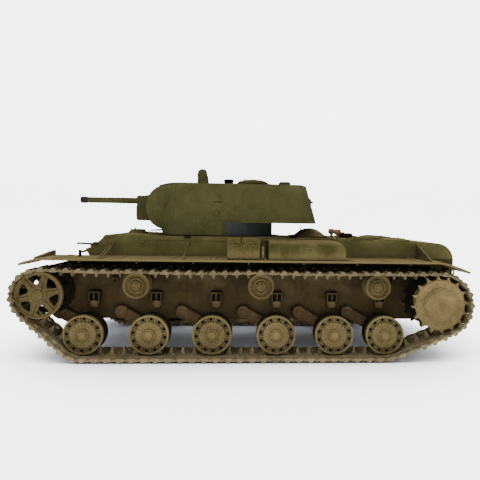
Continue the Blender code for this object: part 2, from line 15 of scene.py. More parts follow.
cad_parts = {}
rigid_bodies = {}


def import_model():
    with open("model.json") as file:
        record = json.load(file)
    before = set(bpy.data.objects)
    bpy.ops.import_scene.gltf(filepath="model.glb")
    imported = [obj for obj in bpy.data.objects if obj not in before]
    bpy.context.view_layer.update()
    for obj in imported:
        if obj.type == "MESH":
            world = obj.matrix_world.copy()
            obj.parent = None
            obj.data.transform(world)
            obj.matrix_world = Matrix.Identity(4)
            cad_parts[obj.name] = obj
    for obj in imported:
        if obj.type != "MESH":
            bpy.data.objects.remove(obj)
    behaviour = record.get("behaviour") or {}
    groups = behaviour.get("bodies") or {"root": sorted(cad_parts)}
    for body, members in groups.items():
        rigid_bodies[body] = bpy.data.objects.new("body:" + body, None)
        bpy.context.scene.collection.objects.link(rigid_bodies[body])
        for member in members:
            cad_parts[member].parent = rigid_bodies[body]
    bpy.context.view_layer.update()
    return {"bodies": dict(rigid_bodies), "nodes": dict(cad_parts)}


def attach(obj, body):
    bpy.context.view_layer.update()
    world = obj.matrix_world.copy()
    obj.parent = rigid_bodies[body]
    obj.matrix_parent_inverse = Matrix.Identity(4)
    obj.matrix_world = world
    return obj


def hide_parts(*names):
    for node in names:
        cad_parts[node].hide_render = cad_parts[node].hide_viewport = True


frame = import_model()

MM = 0.001
TAU = 2 * math.pi

# Running gear, from the frame's own sizes
TRACK_Y, TRACK_HALF_W = 81.9, 21.6
WHEEL_R, WHEEL_Z = 18.1, 22.3
WHEEL_X = (-149.0, -90.1, -32.7, 26.5, 81.0, 129.1)
ARM_DX, ARM_DZ = -31.0, 16.6
ROLLER_X, ROLLER_Z, ROLLER_R = (-102.3, 12.0, 122.2), 67.5, 12.2
SPROCKET_X, SPROCKET_Z, SPROCKET_OUT_R = 179.5, 52.5, 31.5
IDLER_X, IDLER_Z, IDLER_OUT_R, IDLER_R = -185.7, 59.4, 25.3, 21.2
HULL_HALF_W, WALL, BELLY_Z, SPLIT_Z = 58.0, 3.0, 31.6, 91.8
DECK_Z, REAR_DECK_Z = 112.0, 110.4
FENDER_TOP_Z, FENDER_HALF_W = 92.6, 103.75
TURRET_X, TURRET_LOW_Z, BUSTLE_Z, ROOF_Z, RING_R = -27.0, 113.0, 126.0, 165.9, 52.5
TRUNNION_X, TRUNNION_Z, MANTLET_R, MANTLET_HALF_W = -82.5, 140.8, 24.0, 29.0
GUN_Z, HATCH_X, HATCH_R = 147.9, 3.5, 17.3
ENGINE_X = 67.0
MG = (-151.8, -25.0, 100.9)
REAR_MG = (63.8, 0.0, 149.6)
SIDES = (("left", -1), ("right", 1))


def noise(*key):
    """A repeatable number from 0 to 1 for these keys."""
    s = 0.0
    for i, k in enumerate(key):
        s += (k + 1.37) * (12.9898 + 65.233 * i)
    s = math.sin(s) * 43758.5453
    return s - math.floor(s)


# ---------------------------------------------------------------- forms
class Form:
    """Closed shapes gathered in millimetres, to become one piece."""

    def __init__(self):
        self.v, self.f, self.m, self.tone = [], [], [], []
        self.slot, self.shade = 0, 0.5

    def add(self, verts, faces, matrix=None):
        n = len(self.v)
        if matrix is not None:
            verts = [tuple(matrix @ Vector(p)) for p in verts]
        self.v.extend(tuple(p) for p in verts)
        self.f.extend(tuple(i + n for i in f) for f in faces)
        self.m.extend([self.slot] * len(faces))
        self.tone.extend([self.shade] * len(faces))
        return self

    def join(self, other, matrix=None, shade=None):
        n = len(self.v)
        self.v.extend(tuple(matrix @ Vector(p)) for p in other.v) if matrix is not None else self.v.extend(other.v)
        self.f.extend(tuple(i + n for i in f) for f in other.f)
        self.m.extend(other.m)
        self.tone.extend(other.tone if shade is None else [shade] * len(other.f))
        return self

    def box(self, lo, hi, c=0.3, matrix=None):
        """A block with every edge chamfered by c."""
        size = [abs(b - a) for a, b in zip(lo, hi)]
        lo, hi = [min(a, b) for a, b in zip(lo, hi)], [max(a, b) for a, b in zip(lo, hi)]
        c = min([c] + [s / 2.6 for s in size])
        ids, verts, faces = {}, [], []
        for i in (0, 1):
            for j in (0, 1):
                for k in (0, 1):
                    p = [(lo, hi)[i][0], (lo, hi)[j][1], (lo, hi)[k][2]]
                    s = [1 - 2 * i, 1 - 2 * j, 1 - 2 * k]
                    for a in range(3):
                        q = [p[b] + (0 if b == a else s[b] * c) for b in range(3)]
                        ids[i, j, k, a] = len(verts)
                        verts.append(q)
                    faces.append([ids[i, j, k, a] for a in range(3)])
        for s in (0, 1):
            faces.append([ids[s, 0, 0, 0], ids[s, 1, 0, 0], ids[s, 1, 1, 0], ids[s, 0, 1, 0]])
            faces.append([ids[0, s, 0, 1], ids[1, s, 0, 1], ids[1, s, 1, 1], ids[0, s, 1, 1]])
            faces.append([ids[0, 0, s, 2], ids[1, 0, s, 2], ids[1, 1, s, 2], ids[0, 1, s, 2]])
            for t in (0, 1):
                faces.append([ids[0, s, t, 1], ids[1, s, t, 1], ids[1, s, t, 2], ids[0, s, t, 2]])
                faces.append([ids[s, 0, t, 0], ids[s, 1, t, 0], ids[s, 1, t, 2], ids[s, 0, t, 2]])
                faces.append([ids[s, t, 0, 0], ids[s, t, 1, 0], ids[s, t, 1, 1], ids[s, t, 0, 1]])
        return self.add(verts, faces, matrix)

    def prism(self, outline, a, b, plane="XZ", c=0.0, matrix=None):
        """A flat outline made solid from a to b, with its two rims chamfered by c."""
        place = {"XZ": lambda p, q, t: (p, t, q), "XY": lambda p, q, t: (p, q, t), "YZ": lambda p, q, t: (t, p, q)}[plane]
        n = len(outline)
        if a > b:
            a, b = b, a
        rings = [(0.0, a), (0.0, b)] if c <= 0 else [(c, a), (0.0, a + c), (0.0, b - c), (c, b)]
        area = sum(outline[i][0] * outline[(i + 1) % n][1] - outline[(i + 1) % n][0] * outline[i][1] for i in range(n))
        turn = 1 if area > 0 else -1
        verts, faces = [], []
        for inset, t in rings:
            for i in range(n):
                p, q = outline[i]
                if inset:
                    (p0, q0), (p2, q2) = outline[i - 1], outline[(i + 1) % n]
                    d1 = Vector((p - p0, q - q0)).normalized()
                    d2 = Vector((p2 - p, q2 - q)).normalized()
                    n1, n2 = Vector((-d1.y, d1.x)) * turn, Vector((-d2.y, d2.x)) * turn
                    mid = (n1 + n2)
                    mid = mid / max(mid.length_squared / 2, 0.35)
                    p, q = p + mid.x * inset, q + mid.y * inset
                verts.append(place(p, q, t))
        for r in range(len(rings) - 1):
            for i in range(n):
                j = (i + 1) % n
                faces.append([r * n + i, r * n + j, (r + 1) * n + j, (r + 1) * n + i])
        faces.append(list(range(n)))
        faces.append(list(range((len(rings) - 1) * n, len(rings) * n)))
        return self.add(verts, faces, matrix)

    def lathe(self, profile, centre=(0, 0, 0), axis="Y", steps=32, matrix=None):
        """(radius, distance along axis) turned about the axis; closed where the radius is 0, else back on itself."""
        to = {"X": lambda c, s, t: (t, c, s), "Y": lambda c, s, t: (c, t, s), "Z": lambda c, s, t: (c, s, t)}[axis]
        verts, faces, ring = [], [], []
        for r, t in profile:
            if r <= 1e-6:
                ring.append([len(verts)])
                verts.append([a + b for a, b in zip(to(0, 0, t), centre)])
            else:
                ring.append(list(range(len(verts), len(verts) + steps)))
                for k in range(steps):
                    w = TAU * k / steps
                    verts.append([a + b for a, b in zip(to(r * math.cos(w), r * math.sin(w), t), centre)])
        pairs = list(zip(ring, ring[1:]))
        if len(ring[0]) > 1 and len(ring[-1]) > 1:
            pairs.append((ring[-1], ring[0]))
        for a, b in pairs:
            for k in range(steps):
                j = (k + 1) % steps
                if len(a) == 1 and len(b) == 1:
                    continue
                if len(a) == 1:
                    faces.append([a[0], b[k], b[j]])
                elif len(b) == 1:
                    faces.append([a[k], b[0], a[j]])
                else:
                    faces.append([a[k], b[k], b[j], a[j]])
        return self.add(verts, faces, matrix)

    def rod(self, a, b, r, r2=None, steps=14, c=0.0):
        """A round bar between two points, its ends chamfered by c."""
        a, b = Vector(a), Vector(b)
        r2 = r if r2 is None else r2
        length = (b - a).length
        turn = Matrix.Translation(a) @ (b - a).to_track_quat("Z", "Y").to_matrix().to_4x4()
        c = min(c, r / 2, r2 / 2, length / 3)
        profile = [(0, 0), (r - c, 0), (r, c), (r2, length - c), (r2 - c, length), (0, length)] if c > 0 else [(0, 0), (r, 0), (r2, length), (0, length)]
        return self.lathe(profile, axis="Z", steps=steps, matrix=turn)

    def tube(self, points, r, steps=8, closed=False):
        """A bent bar along points."""
        pts = [Vector(p) for p in points]
        n = len(pts)
        side, verts, faces = None, [], []
        for i in range(n):
            before = pts[i - 1] if (i or closed) else pts[i]
            after = pts[(i + 1) % n] if (i < n - 1 or closed) else pts[i]
            along = (after - before).normalized()
            if side is None:
                side = along.orthogonal().normalized()
            side = (side - along * side.dot(along)).normalized()
            up = along.cross(side)
            for k in range(steps):
                w = TAU * k / steps
                verts.append(pts[i] + side * (r * math.cos(w)) + up * (r * math.sin(w)))
        for i in range(n if closed else n - 1):
            j = (i + 1) % n
            for k in range(steps):
                q = (k + 1) % steps
                faces.append([i * steps + k, j * steps + k, j * steps + q, i * steps + q])
        if not closed:
            faces.append(list(range(steps)))
            faces.append(list(range((n - 1) * steps, n * steps)))
        return self.add(verts, faces)

    def ball(self, centre, r, steps=24, rings=12, squash=(1, 1, 1)):
        profile = [(r * math.sin(math.pi * k / rings) if 0 < k < rings else 0.0, -r * math.cos(math.pi * k / rings)) for k in range(rings + 1)]
        m = Matrix.Translation(Vector(centre)) @ Matrix.Diagonal((*squash, 1))
        return self.lathe(profile, axis="Z", steps=steps, matrix=m)

    def bolt(self, at, axis, r=0.9, h=0.7, sides=6):
        """A bolt head standing on a surface at a point, along axis."""
        turn = Matrix.Translation(Vector(at)) @ Vector(axis).to_track_quat("Z", "Y").to_matrix().to_4x4()
        return self.lathe([(0, -0.3), (r, -0.3), (r, h * 0.7), (r * 0.8, h), (0, h)], axis="Z", steps=sides, matrix=turn)

    def rivet(self, at, axis, r=0.7, h=0.45):
        turn = Matrix.Translation(Vector(at)) @ Vector(axis).to_track_quat("Z", "Y").to_matrix().to_4x4()
        return self.lathe([(0, -0.3), (r, -0.3), (r, 0), (r * 0.75, h * 0.75), (0, h)], axis="Z", steps=10, matrix=turn)

    def weld(self, points, r=0.45, step=1.1):
        """A bead of overlapping ripples along points."""
        pts = [Vector(p) for p in points]
        rail, radii = [], []
        for a, b in zip(pts, pts[1:]):
            count = max(2, round((b - a).length / step * 2))
            for k in range(count):
                rail.append(a.lerp(b, k / count))
        rail.append(pts[-1])
        start = len(self.v)
        self.tube(rail, r, steps=6)
        for i in range(len(rail)):
            bulge = 1.0 + (0.18 if i % 2 else -0.12) + 0.14 * (noise(i, len(rail)) - 0.5)
            for k in range(6):
                j = start + i * 6 + k
                self.v[j] = tuple(rail[i] + (Vector(self.v[j]) - rail[i]) * bulge)
        return self

    def hull(self, points):
        """The convex body round points."""
        bm = bmesh.new()
        for p in points:
            bm.verts.new(p)
        bmesh.ops.convex_hull(bm, input=bm.verts)
        bmesh.ops.dissolve_limit(bm, angle_limit=math.radians(0.5), verts=bm.verts, edges=bm.edges)
        bm.verts.index_update()
        verts = [v.co[:] for v in bm.verts]
        faces = [[v.index for v in f.verts] for f in bm.faces]
        bm.free()
        return self.add(verts, faces)

    def moved(self, matrix):
        self.v = [tuple(matrix @ Vector(p)) for p in self.v]
        return self

    def mesh(self, name, sharp=32, side=None):
        """A mesh in metres. side = -1 or 1 reads the y of each point as distance outward from the hull's centre plane."""
        me = bpy.data.meshes.new(name)
        s = 1 if side is None else side
        me.from_pydata([(x * MM, y * MM * s, z * MM) for x, y, z in self.v], [], self.f)
        me.polygons.foreach_set("material_index", self.m)
        tone = me.attributes.new("tone", "FLOAT", "FACE")
        tone.data.foreach_set("value", self.tone)
        bm = bmesh.new()
        bm.from_mesh(me)
        bmesh.ops.recalc_face_normals(bm, faces=bm.faces)
        bm.to_mesh(me)
        bm.free()
        me.shade_smooth()
        me.set_sharp_from_angle(angle=math.radians(sharp))
        return me


def piece(name, mesh, body, mats, bevel=0.0, segments=2, slot=None, stands_for=(), angle=35):
    """An object from a mesh, riding on a body."""
    obj = bpy.data.objects.new(name, mesh)
    bpy.context.scene.collection.objects.link(obj)
    index = [p.material_index for p in mesh.polygons]
    mesh.materials.clear()
    for mat in mats if isinstance(mats, (list, tuple)) else (mats,):
        mesh.materials.append(mat)
    mesh.polygons.foreach_set("material_index", index)
    if bevel:
        mod = obj.modifiers.new("edges", "BEVEL")
        mod.width = bevel * MM
        mod.segments = segments
        mod.limit_method = "ANGLE"
        mod.angle_limit = math.radians(angle)
        mod.harden_normals = True
        mod.miter_outer = "MITER_ARC"
    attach(obj, body)
    if stands_for:
        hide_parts(*stands_for)
    return obj


def paired(name, form, body, mats, **how):
    """The same form on both sides; body and stands_for may hold a %s for left or right."""
    nodes = how.pop("stands_for", ())
    for word, sign in SIDES:
        piece(name + "_" + word, form.mesh(name + "_" + word, side=sign), body % word if "%s" in body else body, mats,
              stands_for=[n % word for n in nodes], **how)


def solid(base, *steps):
    """base with each (operation, form) applied: '-' cuts and '+' joins. Returns a mesh in metres."""
    def temp(form):
        obj = bpy.data.objects.new("temp", form.mesh("temp") if isinstance(form, Form) else form)
        bpy.context.scene.collection.objects.link(obj)
        return obj
    body, used = temp(base), []
    for sign, form in steps:
        tool = temp(form)
        used.append(tool)
        mod = body.modifiers.new("step", "BOOLEAN")
        mod.operation = "DIFFERENCE" if sign == "-" else "UNION"
        mod.object = tool
        mod.solver = "EXACT"
    bpy.context.view_layer.update()
    graph = bpy.context.evaluated_depsgraph_get()
    mesh = bpy.data.meshes.new_from_object(body.evaluated_get(graph), depsgraph=graph)
    for obj in [body] + used:
        old = obj.data
        bpy.data.objects.remove(obj, do_unlink=True)
        if old.users == 0:
            bpy.data.meshes.remove(old)
    return mesh


def tidy(mesh, sharp=32, weld=0.002):
    """Merges what a cut left behind and sets the shading."""
    bm = bmesh.new()
    bm.from_mesh(mesh)
    bmesh.ops.remove_doubles(bm, verts=bm.verts, dist=weld * MM)
    bmesh.ops.dissolve_limit(bm, angle_limit=math.radians(0.4), verts=bm.verts, edges=bm.edges, delimit={"MATERIAL"})
    bm.to_mesh(mesh)
    bm.free()
    mesh.shade_smooth()
    mesh.set_sharp_from_angle(angle=math.radians(sharp))
    return mesh


def ring(x, z, r, n, phase=0.0, y=0.0):
    """n points round a circle in the XZ plane, with the phase in degrees."""
    return [(x + r * math.cos(math.radians(phase) + TAU * k / n), y, z + r * math.sin(math.radians(phase) + TAU * k / n)) for k in range(n)]


# ---------------------------------------------------------------- materials
class Nodes:
    """Shader nodes with short calls."""

    def __init__(self, name):
        self.mat = bpy.data.materials.new(name)
        self.mat.use_nodes = True
        self.tree = self.mat.node_tree
        self.bsdf = self.tree.nodes["Principled BSDF"]
        self.coord = self.tree.nodes.new("ShaderNodeTexCoord")
        self.place = self.coord.outputs["Object"]
        self.xyz = self.tree.nodes.new("ShaderNodeSeparateXYZ")
        self.link(self.place, self.xyz.inputs[0])
        self.up = self.tree.nodes.new("ShaderNodeSeparateXYZ")
        self.link(self.coord.outputs["Normal"], self.up.inputs[0])

    def link(self, a, b):
        self.tree.links.new(a, b)

    def put(self, socket, value):
        if isinstance(value, bpy.types.NodeSocket):
            self.link(value, socket)
        elif isinstance(value, (tuple, list)) and len(value) == 3 and len(socket.default_value) == 4:
            socket.default_value = (*value, 1.0)
        else:
            socket.default_value = value

    def math(self, op, a, b=0.0, c=None, clamp=False):
        n = self.tree.nodes.new("ShaderNodeMath")
        n.operation, n.use_clamp = op, clamp
        self.put(n.inputs[0], a)
        self.put(n.inputs[1], b)
        if c is not None:
            self.put(n.inputs[2], c)
        return n.outputs[0]

    def noise(self, scale, detail=4.0, rough=0.55, stretch=None, offset=0.0, distort=0.0):
        n = self.tree.nodes.new("ShaderNodeTexNoise")
        source = self.place
        if stretch or offset:
            m = self.tree.nodes.new("ShaderNodeMapping")
            m.inputs["Scale"].default_value = stretch or (1, 1, 1)
            m.inputs["Location"].default_value = (offset, offset * 1.7, offset * 0.6)
            self.link(source, m.inputs["Vector"])
            source = m.outputs[0]
        self.link(source, n.inputs["Vector"])
        n.inputs["Scale"].default_value = scale
        n.inputs["Detail"].default_value = detail
        n.inputs["Roughness"].default_value = rough
        n.inputs["Distortion"].default_value = distort
        return n.outputs["Fac"]

    def step(self, value, low, high):
        """0 below low, 1 above high, smooth between; low may be over high."""
        n = self.tree.nodes.new("ShaderNodeMapRange")
        n.interpolation_type = "SMOOTHSTEP"
        self.put(n.inputs["Value"], value)
        if low <= high:
            n.inputs["From Min"].default_value, n.inputs["From Max"].default_value = low, high
        else:
            n.inputs["From Min"].default_value, n.inputs["From Max"].default_value = high, low
            n.inputs["To Min"].default_value, n.inputs["To Max"].default_value = 1.0, 0.0
        return n.outputs["Result"]

    def mix(self, fac, a, b, mode="MIX"):
        n = self.tree.nodes.new("ShaderNodeMix")
        n.data_type, n.blend_type = "RGBA", mode
        self.put(n.inputs["Factor"], fac)
        self.put(n.inputs["A"], a)
        self.put(n.inputs["B"], b)
        return n.outputs["Result"]

    def attribute(self, name):
        n = self.tree.nodes.new("ShaderNodeAttribute")
        n.attribute_name = name
        return n.outputs["Fac"]

    def crevice(self, distance=0.004, samples=4):
        n = self.tree.nodes.new("ShaderNodeAmbientOcclusion")
        n.samples = samples
        n.only_local = False
        n.inputs["Distance"].default_value = distance
        return n.outputs["AO"]

    def bump(self, height, strength, distance):
        n = self.tree.nodes.new("ShaderNodeBump")
        n.inputs["Strength"].default_value = strength
        n.inputs["Distance"].default_value = distance
        self.link(height, n.inputs["Height"])
        return n

    def finish(self, colour, rough, bump=None, metal=0.0, specular=0.0):
        self.put(self.bsdf.inputs["Base Color"], colour)
        self.put(self.bsdf.inputs["Roughness"], rough)
        self.bsdf.inputs["Metallic"].default_value = metal
        self.bsdf.inputs["Specular IOR Level"].default_value = specular
        if bump is not None:
            self.link(bump.outputs[0], self.bsdf.inputs["Normal"])
        return self.mat


def scaled(rgb, k):
    return tuple(min(1.0, c * k) for c in rgb)


OLIVE = (0.038, 0.037, 0.0145)
HULL_OLIVE = (0.062, 0.0595, 0.0215)
TAN = (0.125, 0.098, 0.044)
KHAKI = (0.105, 0.08, 0.034)
MUD = (0.034, 0.026, 0.0125)
RUST = (0.16, 0.07, 0.03)
INNER_SIDE_SHADE = (0.009, 0.0092, 0.0065)


def weathered(name, base, dust=TAN, dust_top=0.55, dust_low=None, recess_shade=0.6, chips=0.35, rough=0.62, grain=0.25,
              streaks=0.3, mottle=0.35, mud=None, under=None):
    """Matt paint with mottling, streaks, settled dust, painted shade darkening the recesses, and worn edges.

    dust_low = (z from, z to, amount) lays more dust towards the ground; mud = (z from, z to, colour, amount) spatters.
    """
    n = Nodes(name)
    # the last argument, (x from, z below, colour), is painted shade: a darker colour laid behind x and below z, where
    # an overhang shades the body
    broad = n.noise(38.0, 5.0, 0.6, distort=0.4)
    fine = n.noise(420.0, 5.0, 0.65, offset=0.31)
    speck = n.noise(2100.0, 2.0, 0.6, offset=0.77)
    colour = n.mix(n.step(broad, 0.3, 0.72), scaled(base, 1 - mottle * 0.55), scaled(base, 1 + mottle * 0.75))
    colour = n.mix(n.math("MULTIPLY", n.step(fine, 0.42, 0.68), 0.35), colour, scaled(base, 1.35))
    if streaks:
        run = n.noise(260.0, 4.0, 0.6, stretch=(1.0, 1.0, 0.07), offset=0.13)
        colour = n.mix(n.math("MULTIPLY", n.step(run, 0.52, 0.75), streaks), colour, scaled(dust, 0.62))
        run = n.noise(190.0, 4.0, 0.6, stretch=(1.0, 1.0, 0.09), offset=0.53)
        colour = n.mix(n.math("MULTIPLY", n.step(run, 0.55, 0.78), streaks * 0.8), colour, scaled(base, 0.5))
    if mud:
        low, high, tint, amount = mud
        spat = n.noise(75.0, 6.0, 0.72, offset=0.91, distort=0.8)
        height = n.step(n.xyz.outputs[2], high * MM, low * MM)
        cover = n.step(n.math("ADD", spat, n.math("MULTIPLY", height, 0.45)), 0.5, 0.86)
        colour = n.mix(n.math("MULTIPLY", cover, amount), colour, tint)
    if dust_low:
        low, high, amount = dust_low
        height = n.step(n.xyz.outputs[2], high * MM, low * MM)
        cover = n.math("MULTIPLY", n.step(n.math("ADD", broad, n.math("MULTIPLY", height, 0.4)), 0.42, 0.85), amount)
        colour = n.mix(cover, colour, dust)
    flat = n.step(n.up.outputs[2], 0.35, 0.95)
    patch = n.step(n.math("ADD", n.math("MULTIPLY", broad, 0.6), n.math("MULTIPLY", fine, 0.5)), 0.32, 0.72)
    settled = n.math("MULTIPLY", n.math("MULTIPLY", flat, n.math("ADD", n.math("MULTIPLY", patch, 0.6), 0.4)), dust_top)
    colour = n.mix(settled, colour, dust)
    if under:
        place = n.math("MULTIPLY", n.step(n.xyz.outputs[0], (under[0] - 4) * MM, (under[0] + 2) * MM), n.step(n.xyz.outputs[2], under[1] * MM, (under[1] - 0.5) * MM))
        colour = n.mix(place, colour, under[2])
    # painted shade: where ambient occlusion finds a recess, the colour is darkened towards a darker copy of the paint
    open_to = n.crevice(0.0035)
    if recess_shade:
        deep = n.step(open_to, 0.85, 0.35)
        colour = n.mix(n.math("MULTIPLY", deep, recess_shade), colour, scaled(base, 0.28))
    edge = None
    if chips:
        bevel = n.tree.nodes.new("ShaderNodeBevel")
        bevel.samples = 4
        bevel.inputs["Radius"].default_value = 0.0009
        geo = n.tree.nodes.new("ShaderNodeNewGeometry")
        dot = n.tree.nodes.new("ShaderNodeVectorMath")
        dot.operation = "DOT_PRODUCT"
        n.link(bevel.outputs[0], dot.inputs[0])
        n.link(geo.outputs["Normal"], dot.inputs[1])
        edge = n.step(dot.outputs["Value"], 0.985, 0.86)
        worn = n.math("MULTIPLY", n.math("MULTIPLY", edge, n.step(fine, 0.38, 0.62)), chips)
        colour = n.mix(worn, colour, scaled(dust, 1.05))
    height = n.math("ADD", n.math("MULTIPLY", fine, 0.7), n.math("MULTIPLY", speck, 0.3))
    bump = n.bump(height, grain, 0.0004)
    gloss = n.math("ADD", n.math("MULTIPLY", fine, 0.22), rough - 0.11)
    return n.finish(colour, gloss, bump)


M = {}
M["olive"] = weathered("olive_paint", HULL_OLIVE, dust_top=0.4, dust_low=(92, 106, 0.28), recess_shade=0.55, chips=0.35, streaks=0.16)
# painted shade on the turret's collar behind x -22 and below z 126.2, where the bustle overhangs it
M["turret"] = weathered("turret_paint", OLIVE, dust_top=0.14, under=(-22.0, 126.2, (0.03, 0.033, 0.031)), recess_shade=0.55, chips=0.3, streaks=0.14)
M["dusty"] = weathered("dusty_paint", (0.04, 0.034, 0.014), dust_top=0.9, dust_low=(92, 98, 0.5), recess_shade=0.5, chips=0.4, streaks=0.25)
M["stowage"] = weathered("stowage_paint", (0.033, 0.03, 0.0095), dust_top=0.75, dust_low=(92, 104, 0.35), recess_shade=0.55, chips=0.5, streaks=0.3)
M["khaki"] = weathered("wheel_dust", KHAKI, dust_top=0.2, dust_low=(4, 60, 0.35), recess_shade=0.85, chips=0.5, grain=0.5, rough=0.8, streaks=0.0, mottle=0.5)
M["khaki_dark"] = weathered("roller_dust", (0.056, 0.043, 0.0185), dust_top=0.2, recess_shade=0.85, chips=0.5, grain=0.5, rough=0.8, streaks=0.0, mottle=0.5)
# near-black paint laid on the inward side of wheels, sprockets and idlers: painted shade
M["rim"] = weathered("inner_side_shade", INNER_SIDE_SHADE, dust=(0.03, 0.024, 0.013), dust_top=0.2, recess_shade=0.5, chips=0.2, grain=0.4, rough=0.7, streaks=0.0)
M["sprocket"] = weathered("sprocket_dust", (0.125, 0.092, 0.041), dust_top=0.2, recess_shade=0.85, chips=0.45, grain=0.5, rough=0.82, streaks=0.0, mottle=0.45,
                          mud=(20, 90, (0.06, 0.043, 0.019), 0.45))
M["mud"] = weathered("hull_mud", MUD, dust=(0.085, 0.066, 0.033), dust_top=0.5, dust_low=(30, 60, 0.3), recess_shade=0.5, chips=0.25, grain=0.7, rough=0.85,
                     streaks=0.3, mottle=0.6, mud=(30, 85, (0.048, 0.033, 0.015), 0.6))
M["arm"] = weathered("arm_rust", (0.092, 0.067, 0.033), dust=(0.1, 0.073, 0.035), dust_top=0.5, recess_shade=0.6, chips=0.35, grain=0.7, rough=0.85, streaks=0.2,
                     mud=(20, 60, (0.058, 0.034, 0.016), 0.5))
M["shade"] = weathered("under_dark", (0.0045, 0.0045, 0.004), dust=(0.012, 0.01, 0.007), dust_top=0.2, recess_shade=0.3, chips=0.0, grain=0.4, rough=0.85, streaks=0.1)
M["ring"] = weathered("ring_grey", (0.027, 0.029, 0.027), dust_top=0.05, recess_shade=0.4, chips=0.2, streaks=0.2)
M["muzzle"] = weathered("muzzle_dark", (0.018, 0.018, 0.0145), dust_top=0.05, recess_shade=0.4, chips=0.3, streaks=0.2)
# a darker copy of the wheel paint for the recessed ring on each wheel face: painted shade
M["annulus"] = weathered("wheel_hollow_shade", (0.052, 0.044, 0.0235), dust_top=0.1, dust_low=(4, 60, 0.15), recess_shade=0.85, chips=0.6, grain=0.5, rough=0.8, streaks=0.0, mottle=0.5)
M["collar"] = weathered("collar_dark", (0.0085, 0.0085, 0.0072), dust_top=0.05, recess_shade=0.4, chips=0.2, streaks=0.2)


def track_material():
    """Cast links: brown steel with rust, dry dust, painted shade in the hollows, and rubbed edges, each link a little
    different.
    """
    n = Nodes("track_links")
    tone = n.attribute("tone")
    broad = n.noise(60.0, 5.0, 0.6, distort=0.6)
    fine = n.noise(700.0, 6.0, 0.7, offset=0.2)
    colour = n.mix(n.step(broad, 0.32, 0.7), (0.048, 0.04, 0.022), (0.135, 0.115, 0.062))
    rust = n.step(n.math("ADD", tone, n.math("MULTIPLY", fine, 0.6)), 0.62, 1.15)
    colour = n.mix(n.math("MULTIPLY", rust, 0.55), colour, (0.13, 0.088, 0.044))
    dust = n.math("MULTIPLY", n.step(fine, 0.4, 0.66), 0.6)
    colour = n.mix(dust, colour, (0.2, 0.172, 0.095))
    # painted shade: the hollows and gaps between links, found by ambient occlusion, are darkened towards near-black
    open_to = n.crevice(0.003)
    colour = n.mix(n.math("MULTIPLY", n.step(open_to, 0.8, 0.25), 0.85), colour, (0.02, 0.016, 0.01))
    bevel = n.tree.nodes.new("ShaderNodeBevel")
    bevel.samples = 4
    bevel.inputs["Radius"].default_value = 0.0007
    geo = n.tree.nodes.new("ShaderNodeNewGeometry")
    dot = n.tree.nodes.new("ShaderNodeVectorMath")
    dot.operation = "DOT_PRODUCT"
    n.link(bevel.outputs[0], dot.inputs[0])
    n.link(geo.outputs["Normal"], dot.inputs[1])
    rubbed = n.math("MULTIPLY", n.step(dot.outputs["Value"], 0.97, 0.8), 0.6)
    colour = n.mix(rubbed, colour, (0.155, 0.122, 0.07))
    # lighter on the run along the ground and darker on links above 50 mm: painted shade on the upper links
    colour = n.mix(n.step(n.xyz.outputs[2], 0.012, 0.05), n.mix(1.0, colour, (1.25, 1.25, 1.28), "MULTIPLY"), n.mix(1.0, colour, (0.68, 0.68, 0.7), "MULTIPLY"))
    return n.finish(colour, n.math("ADD", n.math("MULTIPLY", fine, 0.3), 0.55), n.bump(fine, 0.6, 0.0005))


def metal_material(name, rgb, rough, metal, grain=0.15, dust=0.25):
    """Bare or blued metal with light scratches and a little dust."""
    n = Nodes(name)
    fine = n.noise(600.0, 5.0, 0.65)
    scratch = n.noise(900.0, 2.0, 0.5, stretch=(0.06, 1.0, 1.0), offset=0.4)
    colour = n.mix(n.step(fine, 0.35, 0.7), scaled(rgb, 0.75), scaled(rgb, 1.3))
    colour = n.mix(n.math("MULTIPLY", n.step(fine, 0.5, 0.75), dust), colour, (0.11, 0.088, 0.048))
    gloss = n.math("ADD", n.math("MULTIPLY", scratch, 0.25), rough - 0.1)
    return n.finish(colour, gloss, n.bump(fine, grain, 0.0002), metal=metal)


def plain_material(name, rgb, rough, metal=0.0, grain=0.1, scale=1500.0, vary=0.25):
    n = Nodes(name)
    fine = n.noise(scale, 4.0, 0.6)
    colour = n.mix(n.step(fine, 0.35, 0.7), scaled(rgb, 1 - vary), scaled(rgb, 1 + vary))
    return n.finish(colour, n.math("ADD", n.math("MULTIPLY", fine, 0.15), rough - 0.07), n.bump(fine, grain, 0.0002), metal=metal)


M["track"] = track_material()
M["steel_edge"] = metal_material("worn_steel", (0.14, 0.135, 0.12), 0.5, 0.8, dust=0.4)
M["gunmetal"] = metal_material("gunmetal", (0.03, 0.029, 0.026), 0.5, 0.35)
M["black"] = plain_material("black_plastic", (0.018, 0.018, 0.018), 0.5)
M["rust_pipe"] = weathered("exhaust_rust", (0.15, 0.082, 0.049), dust=(0.14, 0.095, 0.055), dust_top=0.3, recess_shade=0.5, chips=0.2, grain=0.9, rough=0.85, streaks=0.2)
M["dark_pipe"] = weathered("exhaust_dark", (0.02, 0.011, 0.007), dust=(0.05, 0.032, 0.02), dust_top=0.3, recess_shade=0.5, chips=0.2, grain=0.9, rough=0.85, streaks=0.2)
M["glass"] = plain_material("vision_glass", (0.02, 0.025, 0.028), 0.12, vary=0.1)
M["wood"] = weathered("tool_wood", (0.12, 0.078, 0.037), dust_top=0.3, recess_shade=0.3, chips=0.1, grain=0.5, rough=0.7, streaks=0.0)
M["brass"] = metal_material("brass_gear", (0.6, 0.45, 0.2), 0.35, 1.0, dust=0.05)
M["motor"] = metal_material("motor_steel", (0.45, 0.45, 0.44), 0.35, 0.9, dust=0.05)
M["battery"] = plain_material("battery_wrap", (0.02, 0.05, 0.13), 0.35)
M["board"] = plain_material("circuit_board", (0.015, 0.09, 0.035), 0.4)


